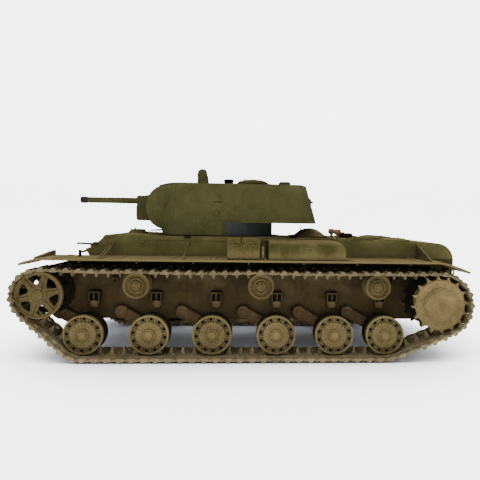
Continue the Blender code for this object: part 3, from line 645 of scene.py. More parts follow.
def finish_node(name, mat, bevel=0.0, segments=1):
    """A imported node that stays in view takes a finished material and, if asked, softened edges."""
    obj = frame["nodes"][name]
    obj.data.materials.clear()
    obj.data.materials.append(mat)
    if bevel:
        mod = obj.modifiers.new("edges", "BEVEL")
        mod.width, mod.segments = bevel * MM, segments
        mod.limit_method, mod.angle_limit = "ANGLE", math.radians(40)
        mod.harden_normals = True


# ---------------------------------------------------------------- tracks
PIN_H, PLATE_H = 2.4, 3.9   # depth of the pin line and of the plate's inner face below the outer surface


def track_line():
    """The pin line of one track as a dense closed list of (x, z), with the top run sagging between its rollers."""
    wheels = [(WHEEL_X[0], WHEEL_Z, WHEEL_Z), (WHEEL_X[-1], WHEEL_Z, WHEEL_Z),
              (SPROCKET_X, SPROCKET_Z, SPROCKET_OUT_R), (IDLER_X, IDLER_Z, IDLER_OUT_R)]
    normals = []
    for (x1, z1, r1), (x2, z2, r2) in zip(wheels, wheels[1:] + wheels[:1]):
        dx, dz = x2 - x1, z2 - z1
        dist = math.hypot(dx, dz)
        dx, dz = dx / dist, dz / dist
        along = (r1 - r2) / dist
        out = math.sqrt(1 - along * along)
        normals.append(math.atan2(dz * along - dx * out, dx * along + dz * out))
    points = []
    for i, (x, z, r) in enumerate(wheels):
        a, b = normals[i - 1], normals[i]
        while b < a:
            b += TAU
        count = max(2, round(math.degrees(b - a) / 1.0))
        for k in range(count + 1):
            t = a + (b - a) * k / count
            points.append((x + (r - PIN_H) * math.cos(t), z + (r - PIN_H) * math.sin(t)))
    dense = []
    for (x1, z1), (x2, z2) in zip(points, points[1:] + points[:1]):
        n = max(1, round(math.hypot(x2 - x1, z2 - z1) / 0.8))
        dense += [(x1 + (x2 - x1) * k / n, z1 + (z2 - z1) * k / n) for k in range(n)]
    rest = ROLLER_Z + ROLLER_R + PLATE_H - PIN_H + 0.08
    top_left, top_right = IDLER_Z + IDLER_OUT_R - PIN_H, SPROCKET_Z + SPROCKET_OUT_R - PIN_H
    posts = [(IDLER_X + 4, 0.0)]
    for x in ROLLER_X:
        line = top_left + (top_right - top_left) * (x - IDLER_X) / (SPROCKET_X - IDLER_X)
        posts.append((x, line - rest))
    posts.append((SPROCKET_X - 6, 0.0))
    out = []
    for x, z in dense:
        if z > 72 and posts[0][0] < x < posts[-1][0]:
            for (xa, da), (xb, db) in zip(posts, posts[1:]):
                if xa <= x <= xb:
                    s = (x - xa) / (xb - xa)
                    z -= da + (db - da) * (3 * s * s - 2 * s ** 3) + 0.75 * (4 * s * (1 - s)) ** 1.3 * (xb - xa) / 112.0
        out.append((x, z))
    return out


def evenly(points, count, start=0.0):
    """count points the same distance apart round a closed line."""
    sums = [0.0]
    for (x1, z1), (x2, z2) in zip(points, points[1:] + points[:1]):
        sums.append(sums[-1] + math.hypot(x2 - x1, z2 - z1))
    total, found, i = sums[-1], [], 0
    for k in range(count):
        want = (start + total * k / count) % total
        if k == 0 or want < sums[i]:
            i = 0
        while sums[i + 1] < want:
            i += 1
        s = (want - sums[i]) / (sums[i + 1] - sums[i])
        (x1, z1), (x2, z2) = points[i], points[(i + 1) % len(points)]
        found.append((x1 + (x2 - x1) * s, z1 + (z2 - z1) * s))
    return found, total


def link_form(pitch):
    """One cast link lying flat: u forward, w across, h inward from its outer face."""
    f = Form()
    e = pitch / 2 - 1.0
    for s in (-1, 1):
        # end plate with its raised outer edge
        f.box((-e, s * 16.8, 1.95), (e, s * 21.5, 3.75), 0.35)
        f.box((-e + 1.4, s * 20.2, 3.2), (e - 1.4, s * 21.3, 4.15), 0.3)
        # bars before and after the tooth window
        for u in (-1, 1):
            f.box((u * 2.3, s * 12.1, 1.35), (u * (pitch / 2 - 0.3), s * 17.0, 2.95), 0.25)
        # grousers across the outer face
        for w0, w1 in ((16.9, 21.55), (4.4, 12.2)):
            f.prism([(-e + 0.6, 2.4), (-1.5, 0.02), (0.5, 0.02), (e - 1.4, 2.4)], s * w0, s * w1, "XZ", 0.15)
        # lightening hollows between the grousers show as low rims
        f.box((e - 1.5, s * 5.6, 1.1), (e - 0.6, s * 10.8, 2.2), 0.2)
        # hinge eyes, front and back interleaved
        for w0, w1, u in ((19.35, 21.5, 1), (9.3, 12.2, 1), (17.0, 19.1, -1), (3.4, 9.05, -1)):
            f.rod((u * pitch / 2, s * w0, PIN_H), (u * pitch / 2, s * w1, PIN_H), 1.25, steps=10, c=0.2)
            f.box((u * (e - 0.9), s * w0, 1.6), (u * (pitch / 2 - 0.6), s * w1, 3.2), 0.15)
        f.rod((pitch / 2, s * 21.3, PIN_H), (pitch / 2, s * 21.78, PIN_H), 0.75, steps=8, c=0.2)
    f.box((-e, -12.4, 1.75), (e, 12.4, 3.45), 0.35)
    f.rod((pitch / 2, -3.1, PIN_H), (pitch / 2, 3.1, PIN_H), 1.5, steps=10, c=0.2)
    f.box((e - 0.9, -3.1, 1.35), (pitch / 2 - 0.1, 3.1, 3.45), 0.15)
    f.rod((pitch / 2, -21.4, PIN_H), (pitch / 2, 21.4, PIN_H), 0.62, steps=8)
    # guide horn
    f.hull([(u * 2.35, w, 3.2) for u in (-1, 1) for w in (-3.3, 3.3)] + [(u * 1.75, w, 5.4) for u in (-1, 1) for w in (-3.05, 3.05)]
           + [(u * 0.55, w, 9.5) for u in (-1, 1) for w in (-2.3, 2.3)])
    f.box((-3.3, -3.4, 3.2), (3.3, 3.4, 3.85), 0.25)
    return f


line = track_line()
length = evenly(line, 4)[1]
LINKS = round(length / 10.7)
PITCH = length / LINKS
LINK = link_form(PITCH)
for word, sign in SIDES:
    joints, _ = evenly(line, LINKS, start=2.0 + (0 if sign < 0 else 3.1))
    chain = Form()
    for i in range(LINKS):
        (x1, z1), (x2, z2) = joints[i], joints[(i + 1) % LINKS]
        along = Vector((x2 - x1, 0, z2 - z1)).normalized()
        inward = Vector((-along.z, 0, along.x))
        m = Matrix(((along.x, 0, inward.x, 0), (0, 1, 0, 0), (along.z, 0, inward.z, 0), (0, 0, 0, 1)))
        wob = (noise(i, sign) - 0.5) * 0.0
        m = Matrix.Translation(((x1 + x2) / 2, TRACK_Y, (z1 + z2) / 2)) @ m @ Matrix.Translation((0, wob, -PIN_H))
        chain.join(LINK, m, shade=noise(i, 7 + sign))
    piece("track_links_" + word, chain.mesh("track_links_" + word, sharp=28, side=sign), "hull", M["track"],
          slot="track_metal", stands_for=["track_" + word])


# ---------------------------------------------------------------- road wheels
def turned_about_y(form, degrees):
    return form.moved(Matrix.Rotation(-math.radians(degrees), 4, "Y"))


def wheel_mesh():
    """One twin-rim steel wheel about its own centre: y runs outward."""
    base = Form()
    # inner rim, hub and outer rim in one turned body, bored for the axle
    base.lathe([
        (3.0, -9.2), (8.5, -9.2), (9.5, -8.2), (15.6, -7.6), (16.3, -9.2), (17.7, -9.2), (18.1, -8.8), (18.1, -4.6), (17.8, -4.2),
        (15.2, -4.2), (14.4, -5.4), (11.4, -5.6), (11.0, -4.6), (11.0, 4.6), (11.4, 5.6), (14.4, 5.4), (15.2, 4.2), (17.8, 4.2), (18.1, 4.6),
        (18.1, 8.8), (17.75, 9.2), (16.75, 9.2), (16.35, 8.75), (16.15, 7.75), (12.35, 7.55), (12.05, 7.75), (11.85, 8.75), (11.5, 9.05),
        (6.3, 9.55), (6.0, 9.1), (5.3, 9.0), (5.1, 8.6), (3.0, 8.6)], axis="Y", steps=60)
    holes = Form()
    for x, _, z in ring(0, 0, 14.55, 12):
        holes.rod((x, 3.0, z), (x, 12, z), 1.5, steps=14)
    mesh = tidy(solid(base, ("-", holes)), 30)
    form = Form()
    form.add([tuple(c / MM for c in v.co) for v in mesh.vertices], [tuple(p.vertices) for p in mesh.polygons])
    bpy.data.meshes.remove(mesh)
    # painted shade: the inside surfaces of the twin rims take the near-black paint, and the recessed ring on the outer
    # face a darker copy of the wheel paint
    for i, face in enumerate(form.f):
        ys = [form.v[j][1] for j in face]
        if max(ys) < 5.7:
            form.m[i] = 1
        elif min(ys) > 7.3 and max(ys) < 7.95 and all(12.0 < math.hypot(form.v[j][0], form.v[j][2]) < 16.4 for j in face):
            form.m[i] = 3
    # ribs between the holes, a near-black disc inside each hole as painted shade, and a low collar round each hole
    for k in range(12):
        w = TAU * (k + 0.5) / 12
        m = Matrix.Rotation(-w, 4, "Y")
        form.prism([(12.0, 7.2), (12.0, 8.7), (12.6, 8.55), (15.9, 8.2), (16.5, 8.7), (16.5, 7.2)], -0.42, 0.42, "XY",
                   0.12, matrix=m @ Matrix(((1, 0, 0, 0), (0, 1, 0, 0), (0, 0, 1, 0), (0, 0, 0, 1))))
        x, z = 14.55 * math.cos(TAU * k / 12), 14.55 * math.sin(TAU * k / 12)
        # painted shade: a near-black disc set inside each hole
        form.slot = 2
        form.lathe([(0, 4.6), (1.49, 4.6), (1.49, 6.2), (0, 6.2)], (x, 0, z), "Y", 14)
        form.slot = 0
        form.lathe([(1.52, 7.3), (1.52, 7.95), (1.85, 7.9), (1.95, 7.3)], (x, 0, z), "Y", 14)
    # raised radial flutes on the hub
    for k in range(18):
        m = Matrix.Rotation(-TAU * k / 18, 4, "Y")
        form.prism([(6.2, 9.0), (6.3, 10.0), (8.0, 10.05), (10.9, 9.65), (11.65, 9.1), (11.65, 8.6), (6.2, 8.6)], -0.48, 0.48, "XY", 0.16, matrix=m)
    # centre cap: stepped rings, a dome and its bolts
    form.lathe([(3.1, 8.4), (5.75, 8.4), (5.75, 9.7), (5.45, 10.15), (4.9, 10.3), (4.6, 10.0), (3.9, 9.95), (3.7, 10.4), (3.4, 10.9), (2.2, 11.25), (0, 11.35),
                (0, 9.95), (3.1, 9.75)], axis="Y", steps=36)
    for x, _, z in ring(0, 0, 4.35, 6, 15):
        form.bolt((x, 9.95, z), (0, 1, 0), 0.55, 0.55)
    # inner face hub plate
    form.lathe([(3.1, -9.0), (7.6, -9.0), (7.6, -9.75), (7.2, -10.0), (3.1, -10.0)], axis="Y", steps=30)
    for x, _, z in ring(0, 0, 5.6, 8):
        form.bolt((x, -9.9, z), (0, -1, 0), 0.7, 0.6)
    return form


WHEEL = wheel_mesh()
WHEEL_TURN = (-3, -8, 5, -10, -13, 9)
for word, sign in SIDES:
    for i, x in enumerate(WHEEL_X):
        f = Form().join(WHEEL, Matrix.Translation((x, TRACK_Y, WHEEL_Z)) @ Matrix.Rotation(-math.radians(WHEEL_TURN[i] + (0 if sign < 0 else 11 * i)), 4, "Y"))
        n = f"{word[0]}{i + 1}"
        piece("wheel_" + n, f.mesh("wheel_" + n, sharp=30, side=sign), "road_wheel_" + n, (M["khaki"], M["rim"], M["shade"], M["annulus"]),
              slot="running_gear_paint", stands_for=["road_wheel_" + n])


# ---------------------------------------------------------------- return rollers
def roller_form():
    f = Form()
    f.lathe([
        (3.3, -8.6), (10.6, -8.6), (11.8, -8.6), (12.2, -8.2), (12.2, -4.3), (11.9, -3.9), (9.6, -3.9), (9.0, -4.8), (5.9, -5.2), (5.6, -4.4), (5.6, 4.4),
        (5.9, 5.2), (9.0, 4.8), (9.6, 3.9), (11.9, 3.9), (12.2, 4.3), (12.2, 8.1), (11.85, 8.6), (10.3, 8.6), (9.95, 8.25), (9.7, 7.3),
        (8.9, 6.9), (7.5, 6.9), (7.2, 7.3), (7.0, 8.0), (6.6, 8.25), (5.9, 8.25), (5.6, 7.9), (5.4, 7.5), (3.3, 7.5)], axis="Y", steps=48)
    f.lathe([(3.45, 7.2), (4.3, 7.2), (4.3, 8.6), (4.0, 9.0), (2.9, 9.25), (2.6, 9.0), (2.2, 9.0), (2.0, 9.5), (0, 9.6), (0, 8.3), (3.3, 8.3)], axis="Y", steps=30)
    for x, _, z in ring(0, 0, 8.3, 6, 10):
        f.bolt((x, 6.9, z), (0, 1, 0), 0.6, 0.6)
    f.rod((0, -26.0, 0), (0, -8.0, 0), 3.0, steps=20, c=0.4)
    return f


ROLLER = roller_form()
for word, sign in SIDES:
    for i, x in enumerate(ROLLER_X):
        n = f"{word[0]}{i + 1}"
        f = Form().join(ROLLER, Matrix.Translation((x, TRACK_Y, ROLLER_Z)) @ Matrix.Rotation(0.4 * i, 4, "Y"))
        piece("roller_" + n, f.mesh("roller_" + n, sharp=28, side=sign), "return_roller_" + n, M["khaki_dark"],
              slot="running_gear_paint", stands_for=["return_roller_" + n])


# ---------------------------------------------------------------- sprockets
def sprocket_ring(y0, y1, phase=4.7):
    """A toothed plate: sharp narrow teeth with hollow flanks."""
    outline = []
    for t in range(16):
        mid = phase + 22.5 * t
        for r, off in ((23.7, -11.25), (23.6, -7.8), (23.9, -5.0), (25.2, -2.7), (27.2, -1.1), (27.55, -0.6), (27.55, 0.6), (27.2, 1.1), (25.2, 2.7), (23.9, 5.0), (23.6, 7.8)):
            w = math.radians(mid + off)
            outline.append((r * math.cos(w), r * math.sin(w)))
    return Form().prism(outline, y0, y1, "XZ", 0.25)


def sprocket_form():
    f = Form()
    f.join(sprocket_ring(13.0, 16.0))
    # painted shade: the inner toothed plate takes the near-black paint
    f.slot = 1
    inner = sprocket_ring(-16.0, -13.0)
    inner.m = [1] * len(inner.m)
    f.join(inner)
    f.slot = 0
    # drum between the rings, flared at both ends
    f.lathe([(11.6, -15.8), (17.8, -15.8), (17.8, -13.6), (15.0, -12.4), (13.2, -9.5), (13.0, -6.0), (13.0, 6.0), (13.2, 9.5), (15.0, 12.4), (17.8, 13.6), (17.8, 15.6), (11.6, 15.6)], axis="Y", steps=48)
    # outer face: bolted flange, scalloped step, domed cover
    f.lathe([(14.0, 15.0), (23.0, 15.0), (23.0, 16.2), (22.6, 16.55), (21.6, 16.5), (16.8, 16.35), (14.0, 16.35)], axis="Y", steps=64)
    scallop = []
    for k in range(64):
        w = TAU * k / 64
        r = 15.75 + 0.42 * (1 if k % 4 in (0, 1) else -1)
        scallop.append((r * math.cos(w), r * math.sin(w)))
    f.prism(scallop, 15.6, 17.5, "XZ", 0.3)
    f.lathe([(0, 15.0), (14.2, 15.0), (14.2, 17.9), (13.75, 18.5), (13.3, 18.75), (12.9, 18.55), (12.5, 18.75), (11.6, 19.5), (8.0, 20.45), (4.5, 20.85), (3.2, 20.9), (3.0, 20.6), (0, 20.6)],
            axis="Y", steps=60)
    for x, _, z in ring(0, 0, 18.9, 16, 11.0):
        f.bolt((x, 16.4, z), (0, 1, 0), 0.8, 0.75)
    for x, _, z in ring(0, 0, 9.6, 6, 20.0):
        f.rivet((x, 20.0, z), (0, 1, 0), 0.6, 0.4)
    f.bolt((0, 20.6, 0), (0, 1, 0), 1.7, 0.6)
    # inner face
    f.lathe([(3.1, -16.6), (16.5, -16.6), (16.5, -15.4), (3.1, -15.4)], axis="Y", steps=40)
    f.lathe([(3.05, -19.5), (9.0, -19.5), (10.0, -18.6), (10.0, -16.0), (3.05, -16.0)], axis="Y", steps=32)
    for x, _, z in ring(0, 0, 13.4, 12):
        f.bolt((x, -16.5, z), (0, -1, 0), 0.8, 0.7)
    f.rod((0, -43.0, 0), (0, -15.0, 0), 3.0, steps=20, c=0.4)
    return f


SPROCKET = sprocket_form()
for word, sign in SIDES:
    f = Form().join(SPROCKET, Matrix.Translation((SPROCKET_X, TRACK_Y, SPROCKET_Z)))
    piece("drive_sprocket_" + word, f.mesh("drive_sprocket_" + word, sharp=30, side=sign), "sprocket_" + word, (M["sprocket"], M["rim"]),
          slot="running_gear_paint", stands_for=["sprocket_" + word])


# ---------------------------------------------------------------- idlers
def idler_form():
    """A spoked twin disc: each disc is a rim, six tapered spokes and a hub, cut out by six rounded windows."""
    f = Form()
    for c, s in ((14.5, 1), (-14.5, -1)):
        face = c + s * 2.2
        base = Form().lathe([(3.2, c - s * 2.0), (18.9, c - s * 1.6), (19.6, c - s * 2.2), (20.9, c - s * 2.2), (21.2, c - s * 1.9), (21.2, face - s * 0.3),
                             (20.9, face), (19.9, face), (19.3, face - s * 0.5), (18.9, face - s * 1.5), (17.6, face - s * 1.7), (8.6, face - s * 1.1),
                             (7.9, face - s * 0.6), (3.2, face - s * 0.4)], axis="Y", steps=72)
        cuts = Form()
        for k in range(6):
            mid = math.radians(-17.0 + 60 * k)
            shape = []
            for r, off in ((17.1, -0.33), (17.55, -0.2), (17.75, 0.0), (17.55, 0.2), (17.1, 0.33), (16.2, 0.36), (10.0, 0.15), (9.3, 0.0), (10.0, -0.15), (16.2, -0.36)):
                shape.append((r * math.cos(mid + off), r * math.sin(mid + off)))
            cuts.prism(shape, c - 6, c + 6, "XZ")
        mesh = tidy(solid(base, ("-", cuts)), 30)
        f.add([tuple(q / MM for q in v.co) for v in mesh.vertices], [tuple(p.vertices) for p in mesh.polygons])
        bpy.data.meshes.remove(mesh)
        # a rib down each spoke
        for k in range(6):
            w = math.radians(13.0 + 60 * k)
            m = Matrix.Rotation(-w, 4, "Y")
            f.prism([(7.4, face - s * 1.6), (7.6, face + s * 0.1), (17.9, face - s * 0.7), (18.4, face - s * 1.7)], -0.7, 0.7, "XY", 0.2, matrix=m)
    f.lathe([(3.2, -16.2), (7.4, -16.2), (7.8, -15.6), (7.0, -11.0), (6.4, -4), (6.4, 4), (7.0, 11.0), (7.8, 15.6), (7.4, 16.9), (6.6, 17.2), (5.4, 17.2), (5.1, 16.8), (3.2, 16.8)], axis="Y", steps=36)
    f.lathe([(3.3, 15.6), (5.0, 15.6), (5.0, 17.6), (4.4, 18.1), (0, 18.4), (0, 15.9), (3.3, 15.9)], axis="Y", steps=30)
    for x, _, z in ring(0, 0, 6.0, 6, 13):
        f.bolt((x, 17.1, z), (0, 1, 0), 0.5, 0.5)
    f.rod((0, -26.0, 0), (0, -16.0, 0), 3.0, steps=20, c=0.4)
    return f


IDLER = idler_form()
for word, sign in SIDES:
    f = Form().join(IDLER, Matrix.Translation((IDLER_X, TRACK_Y, IDLER_Z)))
    # painted shade: faces on the inward half of the idler take the near-black paint
    for i, face in enumerate(f.f):
        if max(f.v[j][1] for j in face) < TRACK_Y:
            f.m[i] = 1
    piece("idler_wheel_" + word, f.mesh("idler_wheel_" + word, sharp=30, side=sign), "idler_" + word, (M["khaki_dark"], M["rim"]),
          slot="running_gear_paint", stands_for=["idler_" + word])


# ---------------------------------------------------------------- swing arms
def arm_form(x):
    """A forged arm: a round boss at the pivot, a tapering shank and the wheel's axle."""
    f = Form()
    px, pz = x + ARM_DX, WHEEL_Z + ARM_DZ
    wx, wz = x, WHEEL_Z
    f.rod((px, 54.0, pz), (px, 59.0, pz), 2.5, steps=16)
    f.lathe([(0, 58.6), (5.9, 58.6), (6.2, 58.9), (6.2, 64.6), (5.7, 65.3), (4.6, 65.5), (4.3, 65.2), (2.6, 65.2), (2.4, 65.7), (0, 65.9)], (px, 0, pz), "Y", 28)
    for bx, _, bz in ring(px, pz, 3.45, 6, 10):
        f.bolt((bx, 65.2, bz), (0, 1, 0), 0.5, 0.45)
    # shank: an eight-sided bar, broad at the boss, round-backed
    along = Vector((wx - px, 0, wz - pz)).normalized()
    across = Vector((-along.z, 0, along.x))
    points = []
    for s, half, y0, y1 in ((2.0, 5.4, 59.0, 64.6), (16.0, 4.5, 59.2, 65.6), ((Vector((wx, 0, wz)) - Vector((px, 0, pz))).length, 4.9, 59.4, 66.2)):
        c = Vector((px, 0, pz)) + along * s
        for a, y in ((-1, y0 + 1.2), (-1, y1 - 1.6), (1, y0 + 1.2), (1, y1 - 1.6), (-0.72, y0), (-0.72, y1), (0.72, y0), (0.72, y1)):
            q = c + across * (half * a)
            points.append((q.x, y, q.z))
    f.hull(points)
    f.lathe([(0, 59.4), (5.0, 59.4), (5.4, 59.9), (5.4, 66.4), (4.9, 67.0), (3.4, 67.2), (3.2, 69.6), (2.6, 69.8), (2.6, 89.4), (0, 89.4)], (wx, 0, wz), "Y", 24)
    return f


for word, sign in SIDES:
    for i, x in enumerate(WHEEL_X):
        n = f"{word[0]}{i + 1}"
        piece("arm_" + n, arm_form(x).mesh("arm_" + n, sharp=34, side=sign), "swing_arm_" + n, M["arm"], slot="rusty_metal",
              stands_for=["swing_arm_" + n])


# ---------------------------------------------------------------- lower hull
finish_node("lower_hull", M["mud"])
finish_node("battery_cover", M["mud"], 0.3)
side = Form()
for i, x in enumerate(WHEEL_X):
    # bump stop: welded bracket over a rounded rubber cup; its backing plate and the inset across its open front are
    # near-black, painted shade inside the bracket
    side.slot = 1
    side.box((x - 3.6, 57.5, 50.2), (x + 7.1, 59.6, 58.6), 0.3)
    side.slot = 0
    side.box((x - 3.4, 58.0, 56.6), (x + 6.9, 65.4, 58.3), 0.35)
    side.box((x - 3.4, 58.0, 49.4), (x - 2.2, 65.2, 57.0), 0.3)
    side.box((x + 5.7, 58.0, 49.4), (x + 6.9, 65.2, 57.0), 0.3)
    # painted shade: a near-black inset filling the bracket's open front
    side.slot = 1
    side.box((x - 2.3, 64.7, 49.6), (x + 5.8, 65.05, 56.8), 0.1)
    side.slot = 0
    side.box((x + 0.9, 58.0, 51.0), (x + 2.6, 65.35, 57.0), 0.3)
    side.slot = 2
    side.lathe([(0, 42.9), (2.9, 42.9), (3.8, 43.6), (4.3, 45.2), (4.4, 49.6), (3.7, 50.2), (0, 50.2)], (x + 1.75, 61.2, 0), "Z", 24)
    side.slot = 0
    side.bolt((x - 2.8, 59.4, 51.6), (0, 1, 0), 0.6, 0.5)
    side.bolt((x + 6.3, 59.4, 51.6), (0, 1, 0), 0.6, 0.5)
    # pivot flange bolted to the plate
    px, pz = x + ARM_DX, WHEEL_Z + ARM_DZ
    side.lathe([(6.45, 57.6), (8.4, 57.6), (8.4, 58.35), (8.0, 58.5), (6.45, 58.5)], (px, 0, pz), "Y", 30)
    for bx, _, bz in ring(px, pz, 7.45, 8, 22):
        side.bolt((bx, 58.4, bz), (0, 1, 0), 0.5, 0.45)
for x in ROLLER_X:
    # roller bracket: a flanged cone, bolted round its flange
    side.lathe([(3.05, 57.6), (9.6, 57.6), (9.6, 58.7), (8.6, 59.2), (6.4, 62.5), (5.8, 69.4), (5.3, 70.0), (3.05, 70.0)], (x, 0, ROLLER_Z), "Y", 30)
    for bx, _, bz in ring(x, ROLLER_Z, 8.5, 8):
        side.bolt((bx, 58.7, bz), (0, 1, 0), 0.55, 0.5)
# final drive housing behind the sprocket
side.lathe([(4.2, 57.6), (24.5, 57.6), (24.5, 58.6), (23.9, 59.0), (21.5, 59.3), (18.5, 61.5), (15.0, 63.6), (14.4, 64.4), (4.2, 64.4)], (SPROCKET_X, 0, SPROCKET_Z), "Y", 56)
for bx, _, bz in ring(SPROCKET_X, SPROCKET_Z, 22.8, 20, 4):
    side.bolt((bx, 58.9, bz), (0, 1, 0), 0.7, 0.6)
# idler crank: housing, tensioner arm and its lower lug
side.lathe([(3.3, 57.6), (13.0, 57.6), (13.0, 58.8), (11.8, 59.4), (10.2, 63.0), (9.6, 64.3), (3.3, 64.3)], (IDLER_X, 0, IDLER_Z), "Y", 40)
for bx, _, bz in ring(IDLER_X, IDLER_Z, 12.0, 10, 9):
    side.bolt((bx, 58.7, bz), (0, 1, 0), 0.6, 0.5)
side.hull([(-176.0, y, 50.5) for y in (57.8, 58.5)] + [(-172.5, y, 57.0) for y in (57.8, 58.5)] + [(-160.5, y, 36.8) for y in (57.8, 58.5)]
          + [(-158.8, y, 43.4) for y in (57.8, 58.5)] + [(-169.0, y, 36.0) for y in (57.8, 58.5)])
# plate joints, an access plate and fasteners down the hull side
side.slot = 0
side.box((-152.0, 57.7, 84.6), (168.0, 58.75, 87.0), 0.3)
for k in range(54):
    side.rivet((-149.0 + 5.95 * k, 58.7, 85.8), (0, 1, 0), 0.55, 0.4)
side.box((146.3, 57.7, 33.0), (147.7, 58.5, 84.0), 0.3)
side.box((-60.6, 57.7, 44.0), (-59.4, 58.4, 84.0), 0.25)
side.box((46.4, 57.7, 44.0), (47.6, 58.4, 84.0), 0.25)
for x in (-60.0, 47.0, 147.0):
    for k in range(9):
        side.rivet((x, 58.4, 47.0 + 4.2 * k), (0, 1, 0), 0.4, 0.3)
side.weld([(-186.0, 58.05, 36.0), (-177.5, 58.05, 31.9), (183.5, 58.05, 31.9), (205.0, 58.05, 63.0)], 0.5)
# scrapers between the roller stations
for x in (-128.0, 146.5):
    side.box((x - 3.0, 58.0, 70.0), (x + 3.0, 63.0, 72.0), 0.3)
    side.box((x - 3.0, 58.0, 66.0), (x - 1.6, 61.5, 71.0), 0.2)
# mudguard brackets that carry the fender
for x in (-150, -100, -50, 0, 50, 100, 150):
    side.box((x - 0.6, 58.0, 88.6), (x + 0.6, 101.5, 90.3), 0.2)
    side.hull([(x + s * 0.45, y, z) for s in (-1, 1) for y, z in ((58.0, 89.2), (58.0, 85.2), (61.0, 85.2), (74.0, 89.2))])
paired("hull_side_detail", side, "hull", (M["mud"], M["shade"], M["arm"]), slot="hull_mud", stands_for=())

# ends and belly of the tub
ends = Form()
for s in (-1, 1):
    # nose plate edges, tow lugs and their hooks
    ends.weld([(-199.1, s * 57.4, 80.0), (-196.1, s * 57.4, 50.2), (-188.1, s * 57.4, 36.1)], 0.55)
    for y in (30.0, 38.0):
        ends.prism([(-197.8, 63.0), (-203.6, 61.4), (-204.8, 57.6), (-202.6, 53.6), (-196.4, 52.4)], s * (y - 1.3), s * (y + 1.3), "XZ", 0.3)
    ends.rod((-201.4, s * 27.5, 57.8), (-201.4, s * 40.5, 57.8), 1.2, steps=14, c=0.2)
    # rear tow lugs
    for y in (30.0, 38.0):
        ends.prism([(203.0, 73.5), (208.6, 72.4), (209.8, 68.6), (207.8, 64.6), (200.6, 56.5)], s * (y - 1.3), s * (y + 1.3), "XZ", 0.3)
    ends.rod((206.4, s * 27.5, 68.6), (206.4, s * 40.5, 68.6), 1.2, steps=14, c=0.2)
ends.box((-200.6, -57.0, 78.2), (-197.6, 57.0, 80.4), 0.5)
for k in range(17):
    y = -52.0 + 6.5 * k
    ends.bolt((-197.2 + 0.0, y, 60.6), (-1, 0, 0.1), 0.9, 0.7) if abs(abs(y) - 34) > 8 else None
# glacis: seam, row of bolts and spare-link brackets
for k in range(18):
    y = -51.0 + 6.0 * k
    ends.rivet((-192.6, y, 81.75), (-0.26, 0, 0.97), 0.75, 0.5)
ends.weld([(-157.4, -57.0, 91.3), (-157.4, 57.0, 91.3)], 0.6)
for y0 in (-12.0, 14.0):
    ends.box((-186.0, y0 - 9.0, 83.6), (-172.0, y0 + 9.0, 85.0), 0.4, matrix=Matrix.Translation((-179.0, 0, 84.6)) @ Matrix.Rotation(-0.262, 4, "Y") @ Matrix.Translation((179.0, 0, -84.0)))
# belly: access hatches and drain plugs
for x, y, w, h in ((22, 0, 26, 22), (70, 0, 20, 30), (150, 26, 20, 14), (150, -26, 20, 14), (-158, 0, 14, 24)):
    ends.box((x - w / 2, y - h / 2, BELLY_Z - 0.55), (x + w / 2, y + h / 2, BELLY_Z + 0.4), 0.25)
    for sx in (-1, 1):
        for sy in (-1, 1):
            ends.bolt((x + sx * (w / 2 - 2), y + sy * (h / 2 - 2), BELLY_Z - 0.5), (0, 0, -1), 0.8, 0.5)
for x, y in ((-10, 38), (-10, -38), (60, 40), (60, -40), (120, 40), (120, -40)):
    ends.lathe([(0, BELLY_Z + 0.3), (3.2, BELLY_Z + 0.3), (3.2, BELLY_Z - 0.5), (2.8, BELLY_Z - 0.7), (0, BELLY_Z - 0.7)], (x, y, 0), "Z", 20)
# rear plate: bolted panel and louvre under the overhang
for k in range(14):
    y = -48.0 + 7.4 * k
    ends.rivet((207.3, y, 84.0), (1, 0, 0), 0.7, 0.5)
ends.box((206.6, -24.0, 72.5), (208.4, 24.0, 82.0), 0.4)
for k in range(4):
    ends.box((208.1, -21.5, 74.2 + 2.0 * k), (208.9, 21.5, 75.2 + 2.0 * k), 0.2)
piece("hull_end_detail", ends.mesh("hull_end_detail"), "hull", M["mud"], slot="hull_mud")

# ring hook at each rear corner
hook = Form()
hook.tube([(204.2 + 3.6 * math.cos(t), 60.6, 79.4 + 3.0 * math.sin(t)) for t in [TAU * k / 20 for k in range(20)]], 0.95, steps=8, closed=True)
hook.box((198.5, 57.6, 77.2), (202.6, 62.6, 81.8), 0.5)
paired("rear_tow_ring", hook, "hull", M["stowage"], slot="dusty_paint")


# ---------------------------------------------------------------- superstructure
def soften(name, mat, bevel, segments=2):
    """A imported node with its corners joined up, then softened."""
    finish_node(name, mat)
    obj = frame["nodes"][name]
    join = obj.modifiers.new("join", "WELD")
    join.merge_threshold = 0.000002
    mod = obj.modifiers.new("edges", "BEVEL")
    mod.width, mod.segments = bevel * MM, segments
    mod.limit_method, mod.angle_limit = "ANGLE", math.radians(28)
    mod.harden_normals = True


def tilted(at, degrees):
    """Turns about Y through a point."""
    return Matrix.Translation(Vector(at)) @ Matrix.Rotation(math.radians(degrees), 4, "Y")


soften("upper_hull", M["olive"], 0.45)

hull_side = Form()
# side plate: top strip, panel joint, lower seam and fasteners
hull_side.weld([(-138.0, 57.7, 111.6), (-125.0, 57.7, 112.3), (-98.0, 57.7, 111.4), (-92.0, 57.7, 111.3)], 0.4)
hull_side.box((-99.0, 57.6, 107.6), (30.0, 58.55, 110.6), 0.25)
for k in range(16):
    hull_side.rivet((-96.0 + 8.1 * k, 58.5, 109.1), (0, 1, 0), 0.6, 0.35)
hull_side.box((-91.4, 57.6, 93.4), (-90.2, 58.4, 107.2), 0.2)
hull_side.box((44.4, 57.6, 93.4), (45.6, 58.4, 108.6), 0.2)
hull_side.weld([(-153.0, 58.1, 93.0), (206.0, 58.1, 93.0)], 0.42)
for k in range(22):
    hull_side.rivet((50.0 + 6.8 * k, 58.0, 96.4), (0, 1, 0), 0.6, 0.4)
